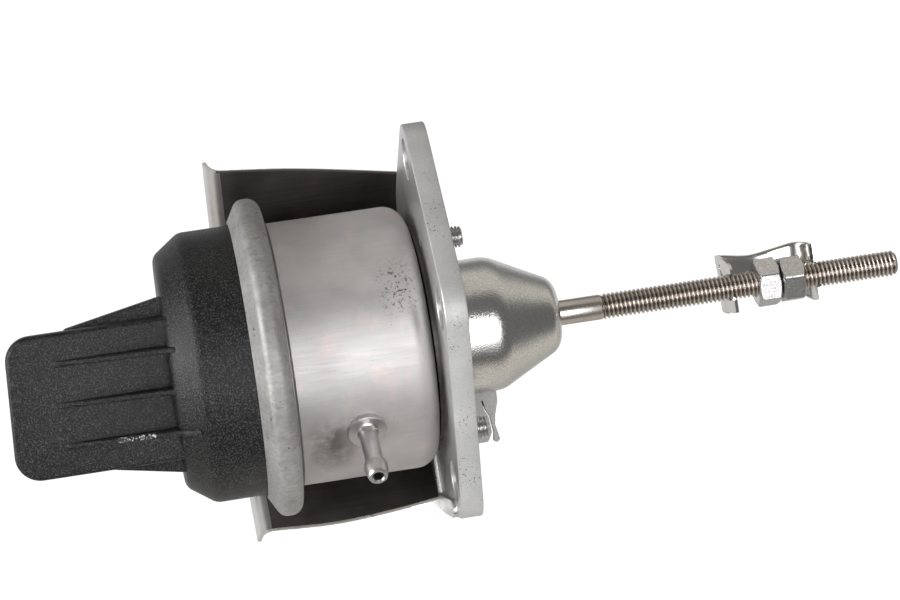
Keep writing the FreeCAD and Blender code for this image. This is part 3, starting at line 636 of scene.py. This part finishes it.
pickFaces(plateMesh, flangeSide)
addPiece("flangeCast", plateMesh, [looks["flange"], looks["flangeBack"]], "housing",
         ["flange_plate"], 32)
print("flange made")


# the heat shield: one bent sheet round the can's back, with its base, foot and web behind the flange

shield = {"half": 42.0, "r": 38.1, "sheet": 0.9, "reach": -47.3, "lipX": 1.1, "lipR": 3.4, "frontX": -4.5,
          "bend": 3.0, "wave": 0.10, "wallRows": 15, "arcRows": 40, "crown": 0.42,
          "top": [(-60.0, 26.4), (-46.0, 25.0), (-28.0, 22.4), (0.0, 16.2)],
          "low": [(-60.0, 19.8), (-48.0, 19.7), (-31.0, 20.7), (-17.0, 19.7), (0.0, 17.2)],
          "foot": [(-11.1, -41.9), (14.6, -41.5), (21.6, -40.0), (21.6, -17.0), (16.8, -17.0),
                   (15.6, -37.9), (-11.1, -38.1)], "footRadii": [1.8, 3, 6, 3, 3, 0.6, 1.8],
          "web": [(-17.0, -39.5), (-13.5, -39.85), (-10.6, -40.4), (-8.0, -41.3), (-5.1, -42.5),
                  (-5.1, -38.2), (-10.0, -38.9), (-15.0, -39.35)], "webY": 16.0, "edge": 0.12,
          "ring": (8.0, 24.5), "sectorR": (24.0, 37.6), "sectorHalf": 44}
baseFront = flange["backX"]
baseBack = baseFront - shield["sheet"]


# height of a smooth curve through the table's points
def smoothAt(table, share):
    last = len(table) - 2
    index = next((i for i in range(last) if share <= table[i + 1][0]), last)
    (x1, z1), (x2, z2) = table[index], table[index + 1]
    before, after = table[max(0, index - 1)], table[min(last + 1, index + 2)]
    width = x2 - x1
    m1 = (z2 - before[1]) / (x2 - before[0])
    m2 = (after[1] - z1) / (after[0] - x1)
    t = clamped((share - x1) / width)
    return ((2 * t ** 3 - 3 * t ** 2 + 1) * z1 + (t ** 3 - 2 * t ** 2 + t) * width * m1
            + (-2 * t ** 3 + 3 * t ** 2) * z2 + (t ** 3 - t ** 2) * width * m2)


# rows of points of the bent sheet: along the lower wall, round the back, and out along the upper wall
def trough(line, rise=0.0):
    half, wall, arc = math.radians(shield["half"]), shield["wallRows"], shield["arcRows"]
    rows = []
    for x, r in line:
        upper, lower = (smoothAt(shield[key], x) + rise
                        + shield["wave"] * noise.noise(Vector((x * 0.9, layer, 0)))
                        for key, layer in (("top", 1.0), ("low", 5.0)))
        places = [(-half, -lower * (1 - step / wall)) for step in range(wall)]
        places += [(-half + 2 * half * step / arc, 0.0) for step in range(arc + 1)]
        places += [(half, upper * step / wall) for step in range(1, wall + 1)]
        rows.append([(x, r * math.cos(angle) - run * math.sin(angle),
                      r * math.sin(angle) + run * math.cos(angle)) for angle, run in places])
    return rows


shieldLine = rounded([(shield["frontX"], shield["r"]), (shield["reach"], shield["r"]),
                      (shield["reach"] - shield["lipX"], shield["r"] + shield["lipR"])], [shield["bend"]], 10)
shieldLine = finer(shieldLine, 1.1)
outer = trough(shieldLine)
middle = trough(shifted(shieldLine, shield["sheet"] * shield["crown"]), 0.08)
inner = trough(shifted(shieldLine, shield["sheet"]), -0.1)
long, tall = len(outer), len(outer[0])
shieldVerts = [point for row in outer + inner for point in row]
shieldVerts += [row[j] for row in middle for j in (0, tall - 1)]
shieldFaces = skin(long, tall, False)
for i in range(long - 1):  # the walls' rims are crowned by the middle rows
    for j in (0, tall - 1):
        a, b = i * tall + j, (i + 1) * tall + j
        c = 2 * long * tall + 2 * i + (1 if j else 0)
        shieldFaces += [(a, b, c + 2, c), (c, c + 2, b + long * tall, a + long * tall)]

footTab = slabAlongX(rounded(shield["foot"], shield["footRadii"], 6, True),
                     softLevels(baseBack, baseFront, shield["edge"]))
webPart = slab(shield["web"], softLevels(shield["webY"], shield["webY"] + shield["sheet"], shield["edge"]))
ringIn, ringOut = shield["ring"]
baseRing = lathe([(baseBack, ringIn), (baseBack, ringOut), (baseFront, ringOut), (baseFront, ringIn)], 90)
nearR, farR = shield["sectorR"]
turns = [math.radians(a) for a in range(-shield["sectorHalf"], shield["sectorHalf"] + 1, 4)]
sector = [(r * math.cos(turn), r * math.sin(turn)) for r, arc in ((farR, turns), (nearR, turns[::-1]))
          for turn in arc]
baseSector = slabAlongX(sector, [(0.0, baseBack + 0.05), (0.0, baseFront - 0.05)])
shieldMesh = meshOf(joined([(shieldVerts, shieldFaces), footTab, webPart, baseRing, baseSector]))


# 0 is painted shade on the inside and on the base ring in the gap behind the can, 1 the bright outside and
# painted light on lit faces, 2 the rims' cut edge
def shieldLightAndShade(centre, normal):
    x, y, z = centre
    onBase = x > baseBack - 0.1
    onWeb = y > shield["webY"] - 0.6 and z < -36.4 and x > -20.5 and abs(normal.y) > 0.9
    # the web and the foot take the bright look as painted light, the base ring and sector in the gap take
    # painted shade
    if onWeb or onBase and z < -26.0:
        return 1
    if onBase and (abs(normal.x) > facing or math.hypot(y, z) < 37.0):
        return 0
    half = math.radians(shield["half"])
    flat = max(-half, min(half, math.atan2(z, y)))
    outward = Vector((math.cos(flat), math.sin(flat)))
    lean = normal.y * outward.x + normal.z * outward.y
    # rims show their cut edge, the upper wall's only at its outer part; its inner part takes the painted
    # shade
    if abs(lean) < facing and x > -46.5:
        edgeR = y * outward.x + z * outward.y
        return 2 if z < 0 or edgeR > shield["r"] - 0.4 else 0
    # the inside takes painted shade, except the lip's lit inner face, which takes painted light with the
    # outside
    return 0 if lean < 0 and x > -45.8 else 1


pickFaces(shieldMesh, shieldLightAndShade)
addPiece("shieldFolded", shieldMesh, [looks["shieldShade"], looks["shieldOutAndLit"], looks["cutEdge"]],
         "housing", ["heat_shield"], 50)

# the small sheet leaf under the bell, as an (x, z) outline with its forked end and narrow slit

leaf = {"y": 7.0, "sheet": 1.2, "edge": 0.1,
        "line": [(-5.1, -15.2), (9.9, -15.2), (9.8, -18.0), (8.9, -20.9), (8.5, -23.2), (8.9, -25.4),
                 (9.2, -26.8), (8.3, -27.5), (7.6, -26.8), (7.9, -25.0), (7.7, -23.0), (7.5, -21.3),
                 (6.7, -19.6), (6.3, -17.4), (6.15, -17.4), (6.5, -19.8), (7.25, -21.4), (7.5, -24.9),
                 (6.4, -27.0), (-5.1, -27.3)],
        "radii": [0, 0.2, 1, 1.5, 1.5, 0.8, 0.6, 0.6, 0.6, 0.8, 1, 0.6, 0.8, 0.1, 0.1, 0.8, 0.6, 0.8, 0.8, 0]}
leafMesh = flatSolid("leaf", [rounded(leaf["line"], leaf["radii"], 4, True)], leaf["sheet"], leaf["edge"])
leafY = (leaf["y"] + leaf["sheet"] / 2) * milli
leafMesh.transform(Matrix(((1, 0, 0, 0), (0, 0, -1, leafY), (0, 1, 0, 0), (0, 0, 0, 1))))
addPiece("anchorLeaf", leafMesh, [looks["leaf"]], "housing", ["anchor_tab"], 32)
print("shield made")


# the bell over the rod's exit

bell = {"r": 15.4, "straight": 10.7, "length": 25.6, "noseR": 7.7, "hole": 3.6, "sheet": 0.8,
        "radii": [8.0, 4.6]}
bellLine = rounded([(flange["backX"], bell["r"]), (bell["straight"], bell["r"]),
                    (bell["length"], bell["noseR"]), (bell["length"], bell["hole"])], bell["radii"], 12)
bellMesh = meshOf(lathe(sheetLoop(finer(bellLine, 1.2), -bell["sheet"]), 200,
                        lambda x, r, angle: r + uneven(x, angle, 0.22, 2.2, 0.045)))
addPiece("bellPolished", bellMesh, [looks["bell"]], "housing", ["bell_cover"], 40)


# a thread: rows of one profile, sheared so that each crest follows its helix, and flat at both ends

def threaded(x0, x1, crestR, rootR, pitch, steps, tipEnd=0.0, startEnd=0.0):
    flankR = rootR + (crestR - rootR) * 0.12
    shape = [(0.0, rootR), (0.10, rootR), (0.18, flankR), (0.50, crestR - 0.03), (0.54, crestR),
             (0.66, crestR), (0.70, crestR - 0.03), (0.95, flankR)]
    turns = math.ceil((x1 - x0) / pitch) + 2
    rows = [(turn + share, r) for turn in range(turns) for share, r in shape]
    count = len(rows)
    verts, faces = [], []
    for i in range(steps):
        for place, r in rows:
            x = min(x1, max(x0, x0 + (place - 1 + i / steps) * pitch))
            r = min(r, crestR - tipEnd + (x1 - x), crestR - startEnd + (x - x0))
            verts.append(spun(x, r, 2 * math.pi * i / steps))
        after = (i + 1) % steps * count + (len(shape) if i == steps - 1 else 0)
        for j in range(count - 1):
            if i < steps - 1 or j + 1 + len(shape) < count:
                faces.append((i * count + j, i * count + j + 1, after + j + 1, after + j))
    return verts, faces


def disc(x, r, steps):
    return [spun(x, r, 2 * math.pi * i / steps) for i in range(steps)], [tuple(range(steps))]


# the rod: riveted head in the can, guided shank, and the long thread

rod = {"headX": -48.8, "headR": 4.0, "headFoot": -47.6, "neckR": 2.5, "neckEnd": -43.1, "guideR": 2.78,
       "guideEnd": 24.0, "r": 2.88, "shankEnd": 35.6, "thread": 36.1, "tip": 105.8, "crest": 2.95,
       "root": 2.36, "pitch": 1.0, "bevel": 0.75, "steps": 36}
shankLine = [(rod["headX"], 0.0), (rod["headX"], rod["headR"] - 0.8), (rod["headX"] + 0.6, rod["headR"]),
             (rod["headFoot"], rod["headR"]), (rod["headFoot"], rod["neckR"]), (rod["neckEnd"], rod["neckR"]),
             (rod["neckEnd"], rod["guideR"]), (rod["guideEnd"], rod["guideR"]),
             (rod["guideEnd"] + 1, rod["r"]), (rod["shankEnd"], rod["r"]),
             (rod["shankEnd"] + 0.3, rod["r"] - 0.12),
             (rod["thread"] + 0.2, rod["root"]), (rod["thread"] + 0.2, 0.0)]
rodParts = [lathe(shankLine, 72),
            threaded(rod["thread"], rod["tip"], rod["crest"], rod["root"], rod["pitch"], rod["steps"],
                     rod["bevel"], 0.25),
            disc(rod["tip"], rod["crest"] - rod["bevel"], rod["steps"])]
rodMesh = meshOf(joined(rodParts))
pickFaces(rodMesh, lambda centre, normal: 1 if centre.x > rod["shankEnd"] + 0.1 else 0)
addPiece("rodThreaded", rodMesh, [looks["shank"], looks["thread"]], "rod_assembly", ["rod"], 48)

# the can's weld studs, through the flange's small holes

stud = {"reach": 4.6, "crest": 2.45, "root": 1.92, "pitch": 0.8, "bevel": 0.5, "steps": 36, "threadX": -0.4,
        "shankR": 2.84, "turn": 1.7}
shankBack = flange["backX"] - 0.05
studParts = []
for index, (y, z) in enumerate(flange["studs"]):
    shift = Matrix.Translation((0, y, z)) @ Matrix.Rotation(index * stud["turn"], 4, "X")
    shank = lathe([(shankBack, 0.0), (shankBack, stud["shankR"]), (-0.1, 2.8), (0.0, 2.7), (0.0, 0.0)], 40)
    screw = threaded(stud["threadX"], stud["reach"], stud["crest"], stud["root"], stud["pitch"],
                     stud["steps"], stud["bevel"])
    end = disc(stud["reach"], stud["crest"] - stud["bevel"], stud["steps"])
    studParts += [placed(part, shift) for part in (shank, screw, end)]
studMesh = meshOf(joined(studParts))
pickFaces(studMesh, lambda centre, normal: 1 if centre.x < -4.0 else 0)
addPiece("weldStuds", studMesh, [looks["bright"], looks["flangeBack"]], "housing",
         ["can_studs"], 48)
print("rod and studs made")


# the return spring inside the can, built as one still coil; the real one closes up as the rod moves out

spring = {"start": -43.4, "end": -9.2, "meanR": 17.01, "wireR": 1.1, "turns": 5, "seatX": -8.0,
          "travel": 10.0, "steps": 36, "sides": 12}


def coil():
    verts = []
    meanR, wireR, steps, sides = (spring[key] for key in ("meanR", "wireR", "steps", "sides"))
    rise = (spring["end"] - spring["start"]) / (spring["turns"] * 2 * math.pi)
    count = spring["turns"] * steps + 1
    for step in range(count):
        angle = 2 * math.pi * step / steps
        outward = Vector(spun(0, 1, angle))
        along = Vector((rise, -meanR * math.sin(angle), meanR * math.cos(angle))).normalized()
        across = along.cross(outward)
        centre = outward * meanR + Vector((spring["start"] + rise * angle, 0, 0))
        for side in range(sides):
            turn = 2 * math.pi * side / sides
            verts.append(tuple(centre + (outward * math.cos(turn) + across * math.sin(turn)) * wireR))
    return verts, wrapped(count, sides)


springPiece = addPiece("springCoiled", meshOf(coil()), [looks["spring"]], "housing",
                       ["return_spring"], 60)
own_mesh(springPiece)
print("spring made")


# two nuts

nut = {"flats": 10.0, "height": 5.4, "chamferR": 4.7, "cornerR": 5.69, "boreR": 2.5, "mouthR": 3.15,
       "slope": 0.577, "columns": (-1.5, 1.5, 8, 15, 22, 30, 38, 45, 52),
       "places": (("nutInner", "adjusting_nut", 72.2, -15.0), ("nutOuter", "lock_nut", 77.9, -3.0))}


def nutPart(x0, turn):
    verts = []
    half, chamferR = nut["height"] / 2, nut["chamferR"]
    turns = [60 * side + column for side in range(6) for column in nut["columns"]]
    for degrees in turns:
        fromCorner = abs((degrees + 30) % 60 - 30)
        flatR = min(nut["cornerR"], nut["flats"] / 2 / math.cos(math.radians(30 - fromCorner)))
        edge = half - (flatR - chamferR) * nut["slope"]
        side = [(half - 0.7, nut["boreR"]), (half, nut["mouthR"]), (half, chamferR - 0.12),
                (half - 0.05, chamferR + 0.06), (edge + 0.05, flatR - 0.08), (edge - 0.10, flatR)]
        line = [(-x, r) for x, r in side] + side[::-1]
        verts += [spun(x0 + half + x, r, math.radians(degrees + turn)) for x, r in line]
    return verts, wrapped(len(turns), len(line), True)


for pieceName, nodeName, x0, turn in nut["places"]:
    addPiece(pieceName, meshOf(nutPart(x0, turn)), [looks["nut"]], "rod_assembly",
             [nodeName], 14)


# the lock clip: a bent strip behind the nuts, forked over the rod at both ends

clip = {"left": 64.0, "right": 88.1, "back": 6.9, "front": -1.6, "slant": 2.6, "tipSlant": 0.8, "sheet": 0.8,
        "radii": [2.2, 5.8], "slotR": 3.05, "slotX": (60.0, 92.0), "wave": 0.16, "edge": 0.22, "earZ": 3.4,
        "earDrop": 8.5, "sagZ": 6.3, "sagDeep": 3.3,
        "top": [(-0.08, 8.0), (0.1, 7.7), (0.37, 6.8), (0.62, 7.5), (0.83, 8.2), (0.94, 7.7), (1.04, 5.6)],
        "low": [(-0.08, -4.2), (0.1, -6.1), (0.19, -4.6), (0.215, -2.2), (0.855, -2.2), (0.87, -4.4),
                (0.96, -5.9), (1.04, -4.2)]}
clipLine = rounded([(clip["left"] + clip["slant"], clip["front"]), (clip["left"], clip["back"]),
                    (clip["right"], clip["back"]), (clip["right"] - clip["tipSlant"], clip["front"])],
                   clip["radii"], 14)
clipLine = finer(clipLine, 0.45)
clipLevels = [0.0, 0.015, 0.05] + [0.05 + 0.9 * i / 15 for i in range(1, 15)] + [0.95, 0.985, 1.0]
rimShare = {0.0: 1.0, 0.015: 0.35, 0.985: 0.35, 1.0: 1.0}  # the strip thins towards its long edges


def straightAt(table, share):
    for (x1, z1), (x2, z2) in zip(table, table[1:]):
        if share <= x2:
            return z1 + (z2 - z1) * max(0.0, share - x1) / (x2 - x1)
    return table[-1][1]


clipVerts = []
for edge, line in ((clip["edge"], clipLine), (-clip["edge"], shifted(clipLine, -clip["sheet"]))):
    for (x, y), (outerX, outerY) in zip(line, clipLine):
        share = (outerX - clip["left"]) / (clip["right"] - clip["left"])
        high, low = smoothAt(clip["top"], share), straightAt(clip["low"], share)
        if share < 0.2:  # the left ear's top comes down in an arc
            dropped = clamped((clip["back"] - outerY) / clip["earDrop"])
            high = clip["earZ"] + (high - clip["earZ"]) * math.sqrt(1 - dropped * dropped)
        for level in clipLevels:
            z = low + (high - low) * level
            rim = edge * rimShare.get(level, 0.0)
            bulge = clip["wave"] * noise.noise(Vector((x * 0.30, y * 0.3, z * 0.22))) - rim
            if z > 0:  # the back sags between the ears, most at the left
                sag = max(0.0, (clip["sagZ"] - z) / clip["sagDeep"]) ** 0.7
                bulge -= (1.0 - 0.8 * clamped((share - 0.28) / 0.2)) * sag * sag
            clipVerts.append((x, y + (bulge if outerY > 3 else -rim * 0.3), z))
clipFaces = skin(len(clipLine), len(clipLevels))
slotR = clip["slotR"]
slotTurns = [math.radians(a) for a in range(-90, 91, 10)]
slotOutline = [(slotR * math.cos(turn), slotR * math.sin(turn)) for turn in slotTurns]
slotOutline += [(-6.0, slotR), (-6.0, -slotR)]
slotCut = slabAlongX(slotOutline, [(0, x) for x in clip["slotX"]])
clipMesh = cutBy(meshOf((clipVerts, clipFaces)), [slotCut])
addPiece("lockClipBent", clipMesh, [looks["clip"]], "rod_assembly", ["lock_clip"], 50)
print("nuts and clip made")


# the sensor cap: a turned shell with the tube that guides the magnet carrier

cap = {"frontX": -41.6, "brimR": 34.8, "brimX": -43.3, "neckX": -45.9, "r": 30.8, "chamferX": -57.7,
       "endX": -64.1, "endR": 26.2, "wall": 2.4, "innerEndR": 24.8, "innerChamferX": -57.1, "turn": 9.6,
       "radii": [0.2, 0.2, 0.2, 3.6, 3.0], "guide": (-62.0, -48.4, 5.08, 7.0)}
innerR = cap["r"] - cap["wall"]
innerEndX = cap["endX"] + cap["wall"]
capLine = rounded([(cap["frontX"], innerR), (cap["frontX"], cap["brimR"]), (cap["brimX"], cap["brimR"]),
                   (cap["neckX"], cap["r"]), (cap["chamferX"], cap["r"]), (cap["endX"], cap["endR"]),
                   (cap["endX"], 0.0)], cap["radii"], 10)
capLine += [(innerEndX, 0.0), (innerEndX, cap["innerEndR"]), (cap["innerChamferX"], innerR)]


def capShape(x, r, angle):
    return r if r < 25.5 or x > -45 else r + uneven(x, angle, 0.10, 1.9, 0.06)


shellMesh = meshOf(lathe(capLine, 180, capShape))
guideMesh = meshOf(lathe(rectangle(*cap["guide"]), 48))

# the connector: skewed plate, web and neck in (x, z), with y from the plate's face back to the socket's mouth

shroud = {"farX": -99.7, "skew": 0.8, "half": 16.0, "corner": 5.6, "faceY": -22.0, "plate": 2.6,
          "webX": -86.0, "webHalf": 19.8, "webTip": 15.6, "step": 4.6, "web": 2.6, "footHalf": 15.3,
          "neck": 13.0, "depthY": -4.0, "intoCap": -62.2, "ribs": [9.2, 0.0, -9.2],
          "pocketX": (-77.0, -67.1), "pocketZ": (5.0, 10.2), "socketX": (-95.7, -72.7), "socketHalf": 10.0,
          "socketWall": 2.0, "latch": (-86.7, -81.7, 9.5, 12.2)}
faceY, webX, intoCap, neck = (shroud[key] for key in ("faceY", "webX", "intoCap", "neck"))
plateBack = faceY + shroud["plate"]
webTop = faceY + shroud["step"]
webBack = webTop + shroud["web"]

plateOutline = rounded([(shroud["farX"] - shroud["skew"], -shroud["half"]), (intoCap, -shroud["half"]),
                        (intoCap, shroud["half"]), (shroud["farX"] + shroud["skew"], shroud["half"])],
                       [shroud["corner"], 0, 0, shroud["corner"]], 10, True)
plateSolid = slab(plateOutline, [(0.9, faceY), (0.62, faceY + 0.06), (0.28, faceY + 0.30),
                                 (0.08, faceY + 0.62), (0.0, faceY + 1.0), (0.0, plateBack - 0.2),
                                 (0.2, plateBack)])
webTip, webHalf = shroud["webTip"], shroud["webHalf"]
webOutline = rounded([(webX, -webTip), (cap["endX"], -webHalf), (intoCap, -webHalf), (intoCap, webHalf),
                      (cap["endX"], webHalf), (webX, webTip)], [1.0, 0.5, 0, 0, 0.5, 1.0], 5, True)
webSolid = slab(webOutline, [(0.5, webTop), (0.15, webTop + 0.15), (0.0, webTop + 0.5), (0.0, webBack - 0.4),
                             (0.4, webBack)])
footSolid = slab(rectangle(webX + 0.3, intoCap, -shroud["footHalf"], shroud["footHalf"]),
                 [(0.0, plateBack - 0.3), (0.0, webBack - 0.3), (0.3, webBack)])
neckSolid = slab(rounded(rectangle(webX, intoCap, -neck, neck), [1.2, 0, 0, 1.2], 5, True),
                 [(0.0, plateBack - 0.3), (0.0, shroud["depthY"] - 0.4), (0.4, shroud["depthY"])])

near, far = shroud["pocketZ"]
pockets = [slab(rounded(rectangle(*shroud["pocketX"], *ends), [1.2] * 4, 4, True),
                [(0.6, -15.4), (0.0, -14.8), (0.0, -3.0)]) for ends in ((-far, -near), (near, far))]
(left, right), half, wall = shroud["socketX"], shroud["socketHalf"], shroud["socketWall"]
socketOuter = rounded(rectangle(left, right, -half, half), [3.0] * 4, 7, True)
socketInner = rounded(rectangle(left + wall, right - wall, wall - half, half - wall), [2.0] * 4, 6, True)
socketShell = slab(socketOuter, [(0.0, plateBack - 0.3), (0.0, 4.5), (0.15, 4.85), (0.5, 5.0)])
socketHole = slab(socketInner, [(0.5, -7.0), (0.0, -6.5), (0.0, 4.4), (-0.5, 5.2)])
socketRoom = slab(socketInner, [(0.0, -7.0), (0.0, 5.2)])
latch = slab(rectangle(*shroud["latch"]), [(0.9, -2.2), (0.3, -1.4), (0.0, -0.6), (0.0, 3.0), (0.6, 3.8)])

rib = {"start": (-89.2, -21.9), "bend": (-88.2, -22.35), "capEnd": (-64.1, -25.8), "end": (-62.6, -25.9),
       "lowEnd": (-59.5, -28.5),
       "half": [(1.15, 0.35), (0.78, 0.05), (0.66, -0.2), (0.62, -0.75), (0.40, -0.96)]}


# tapered rib: wide foot, narrower rounded back, rising from the plate to the cap's end
def ribPart(z):
    spine = finer([rib["start"], rib["bend"], rib["capEnd"], rib["lowEnd" if z < 0 else "end"]], 1.5)
    section = [(-across, down) for across, down in rib["half"]] + [(0.0, -1.0)] + rib["half"][::-1]
    verts = []
    for x, top in spine:
        rise = min(1.0, max(0.05, faceY - top))
        for across, down in section:
            if down > -0.5:
                depth = faceY + (down - 0.05 if down > 0.2 else down * rise)
            else:
                depth = top + (down + 1.0) * rise
            verts.append((x, depth, z + across))
    return verts, wrapped(len(spine), len(section))


blockMesh = cutBy(meshOf(neckSolid), pockets + [socketRoom])
socketMesh = cutBy(meshOf(socketShell), [socketHole])
plainMesh = meshOf(joined([plateSolid, webSolid, footSolid, latch] + [ribPart(z) for z in shroud["ribs"]]))
capWork = bmesh.new()
for mesh in (blockMesh, socketMesh, plainMesh):
    mesh.transform(Matrix.Rotation(math.radians(cap["turn"]), 4, "X"))
for mesh in (blockMesh, socketMesh, plainMesh, shellMesh, guideMesh):
    capWork.from_mesh(mesh)
capMesh = bpy.data.meshes.new("cap")
capWork.to_mesh(capMesh)
capWork.free()
addPiece("sensorCapMoulded", capMesh, [looks["cap"]], "housing", ["sensor_cap"], 34)
print("sensor cap made")


# camera: the photograph's angle, with its long lens and slight roll

view = {"place": (-74.68, -669.35, 6.67), "yaw": 6.5, "roll": 8.5, "lens": 118.0, "sensor": 36.0}
yaw, roll = math.radians(view["yaw"]), math.radians(view["roll"])
rightWay = Vector((math.cos(yaw) * math.cos(roll), -math.cos(roll) * math.sin(yaw), -math.sin(roll)))
upWay = Vector((math.cos(yaw) * math.sin(roll), -math.sin(roll) * math.sin(yaw), math.cos(roll)))
turned = Matrix((rightWay, upWay, rightWay.cross(upWay))).transposed().to_4x4()
cameraData = bpy.data.cameras.new("camera")
cameraData.lens = view["lens"]
cameraData.sensor_width = view["sensor"]
cameraData.clip_start = 0.01
camera = linked("camera", cameraData)
camera.matrix_world = Matrix.Translation(Vector(view["place"]) * milli) @ turned
bpy.context.scene.camera = camera


# three soft lamps, in metres and watts

def lamp(name, place, aim, size, power, tall=None, mirrored=True):
    data = bpy.data.lights.new(name, "AREA")
    data.energy = power
    data.size = size
    if tall:
        data.shape = "RECTANGLE"
        data.size_y = tall
    item = linked(name, data)
    item.location = place
    item.visible_glossy = mirrored
    item.rotation_euler = (Vector(aim) - Vector(place)).to_track_quat("-Z", "Y").to_euler()


lamp("lampLeft", (-0.72, -0.28, 0.10), (-0.05, 0, 0), 0.35, 5.0, 0.5)
lamp("lampFront", (0.08, -0.74, -0.12), (0, 0, 0), 0.42, 2.7)
lamp("lampLow", (0.0, -0.45, -0.50), (0, 0, 0), 0.50, 4.2, mirrored=False)

# the pale room that metal mirrors: dark behind the camera, a low window there and a bright patch at the left

room = {"cameraWay": (0.0, -0.988, -0.155), "cameraTone": (0.15, 0.15, 0.15), "cameraRange": (0.38, 0.48),
        "sideTone": (0.60, 0.575, 0.53), "sideRange": (-0.60, -0.35),
        "lowTone": (0.46, 0.45, 0.43), "highTone": (0.22, 0.22, 0.22), "heightRange": (-0.30, -0.05),
        "backTone": (0.70, 0.70, 0.70), "backRange": (-0.95, -0.85),
        "windowWay": (0.0, -0.951, -0.309), "windowTone": (1.2, 1.2, 1.22), "windowRange": (0.86, 0.99),
        "windowEnds": (0.16, 0.52), "patchWay": (-0.94, -0.31, 0.11), "patchTone": (2.1, 2.1, 2.1),
        "patchRange": (0.84, 0.97), "backdrop": (1.0, 1.0, 1.0)}
world = bpy.data.worlds.new("room")
bpy.context.scene.world = world
world.use_nodes = True
tree = world.node_tree
way, axes = splitPlace(tree, "Generated")


def towards(direction):
    dot = add(tree, "VectorMath", operation="DOT_PRODUCT")
    tree.links.new(way, dot.inputs[0])
    dot.inputs[1].default_value = direction
    return dot.outputs["Value"]


around = calc(tree, "MAXIMUM", fromRodAxis(tree, axes), 0.05)
toCamera = calc(tree, "DIVIDE", towards(room["cameraWay"]), around)
toWindow = calc(tree, "DIVIDE", towards(room["windowWay"]), around)
tone = blended(tree, stepped(tree, axes["Z"], *room["heightRange"]), room["lowTone"], room["highTone"])
tone = blended(tree, stepped(tree, toCamera, *room["sideRange"]), tone, room["sideTone"])
tone = blended(tree, stepped(tree, toCamera, *room["backRange"]), room["backTone"], tone)
tone = blended(tree, stepped(tree, toCamera, *room["cameraRange"]), tone, room["cameraTone"])
ends = stepped(tree, calc(tree, "ABSOLUTE", axes["X"]), *room["windowEnds"], 1.0, 0.0)
window = calc(tree, "MULTIPLY", stepped(tree, toWindow, *room["windowRange"]), ends)
tone = blended(tree, window, tone, room["windowTone"])
tone = blended(tree, stepped(tree, towards(room["patchWay"]), *room["patchRange"]), tone, room["patchTone"])
path = add(tree, "LightPath").outputs
seen = calc(tree, "MAXIMUM", path["Is Camera Ray"], path["Is Transmission Ray"])
tree.links.new(blended(tree, seen, tone, room["backdrop"]), tree.nodes["Background"].inputs["Color"])

# the pale floor, which sweeps up behind the part; mirrored rays and lamp light pass through it

floor = {"z": -90.0, "half": 3000.0, "backY": 3000.0, "top": 2500.0, "bend": 900.0, "rough": 0.9,
         "tone": (0.90, 0.90, 0.90), "patch": (0.94, 0.94, 0.94), "glow": 1.15, "glowShare": 0.88}
floorLook, tree, shader = startLook("floorPale")
shader.inputs["Roughness"].default_value = floor["rough"]
grain = stepped(tree, grainAt(tree, 0.01, 3.0), 0.3, 0.7)
tree.links.new(blended(tree, grain, floor["tone"], floor["patch"]), shader.inputs["Base Color"])
glow = add(tree, "Emission")
glow.inputs["Strength"].default_value = floor["glow"]
path = add(tree, "LightPath").outputs


def mixed(share, first, second):
    mix = add(tree, "MixShader")
    for socket, value in zip(mix.inputs, (share, first, second)):
        tree.links.new(value, socket)
    return mix.outputs["Shader"]


solid = mixed(calc(tree, "MULTIPLY", path["Is Camera Ray"], floor["glowShare"]), shader.outputs["BSDF"],
              glow.outputs["Emission"])
passing = calc(tree, "MAXIMUM", path["Is Glossy Ray"], path["Is Shadow Ray"])
tree.links.new(mixed(passing, solid, add(tree, "BsdfTransparent").outputs["BSDF"]),
               tree.nodes["Material Output"].inputs["Surface"])

sweep = rounded([(-floor["half"], floor["z"]), (floor["backY"], floor["z"]), (floor["backY"], floor["top"])],
                [floor["bend"]], 12)
floorVerts = [(x * milli, y * milli, z * milli) for y, z in sweep for x in (-floor["half"], floor["half"])]
floorFaces = [(i, i + 1, i + 3, i + 2) for i in range(0, len(floorVerts) - 2, 2)]
floorMesh = bpy.data.meshes.new("floor")
floorMesh.from_pydata(floorVerts, [], floorFaces)
floorMesh.materials.append(floorLook)
for face in floorMesh.polygons:
    face.use_smooth = True
floorPiece = linked("floor", floorMesh)
bpy.context.scene.view_settings.view_transform = "Standard"
print("camera and light made")
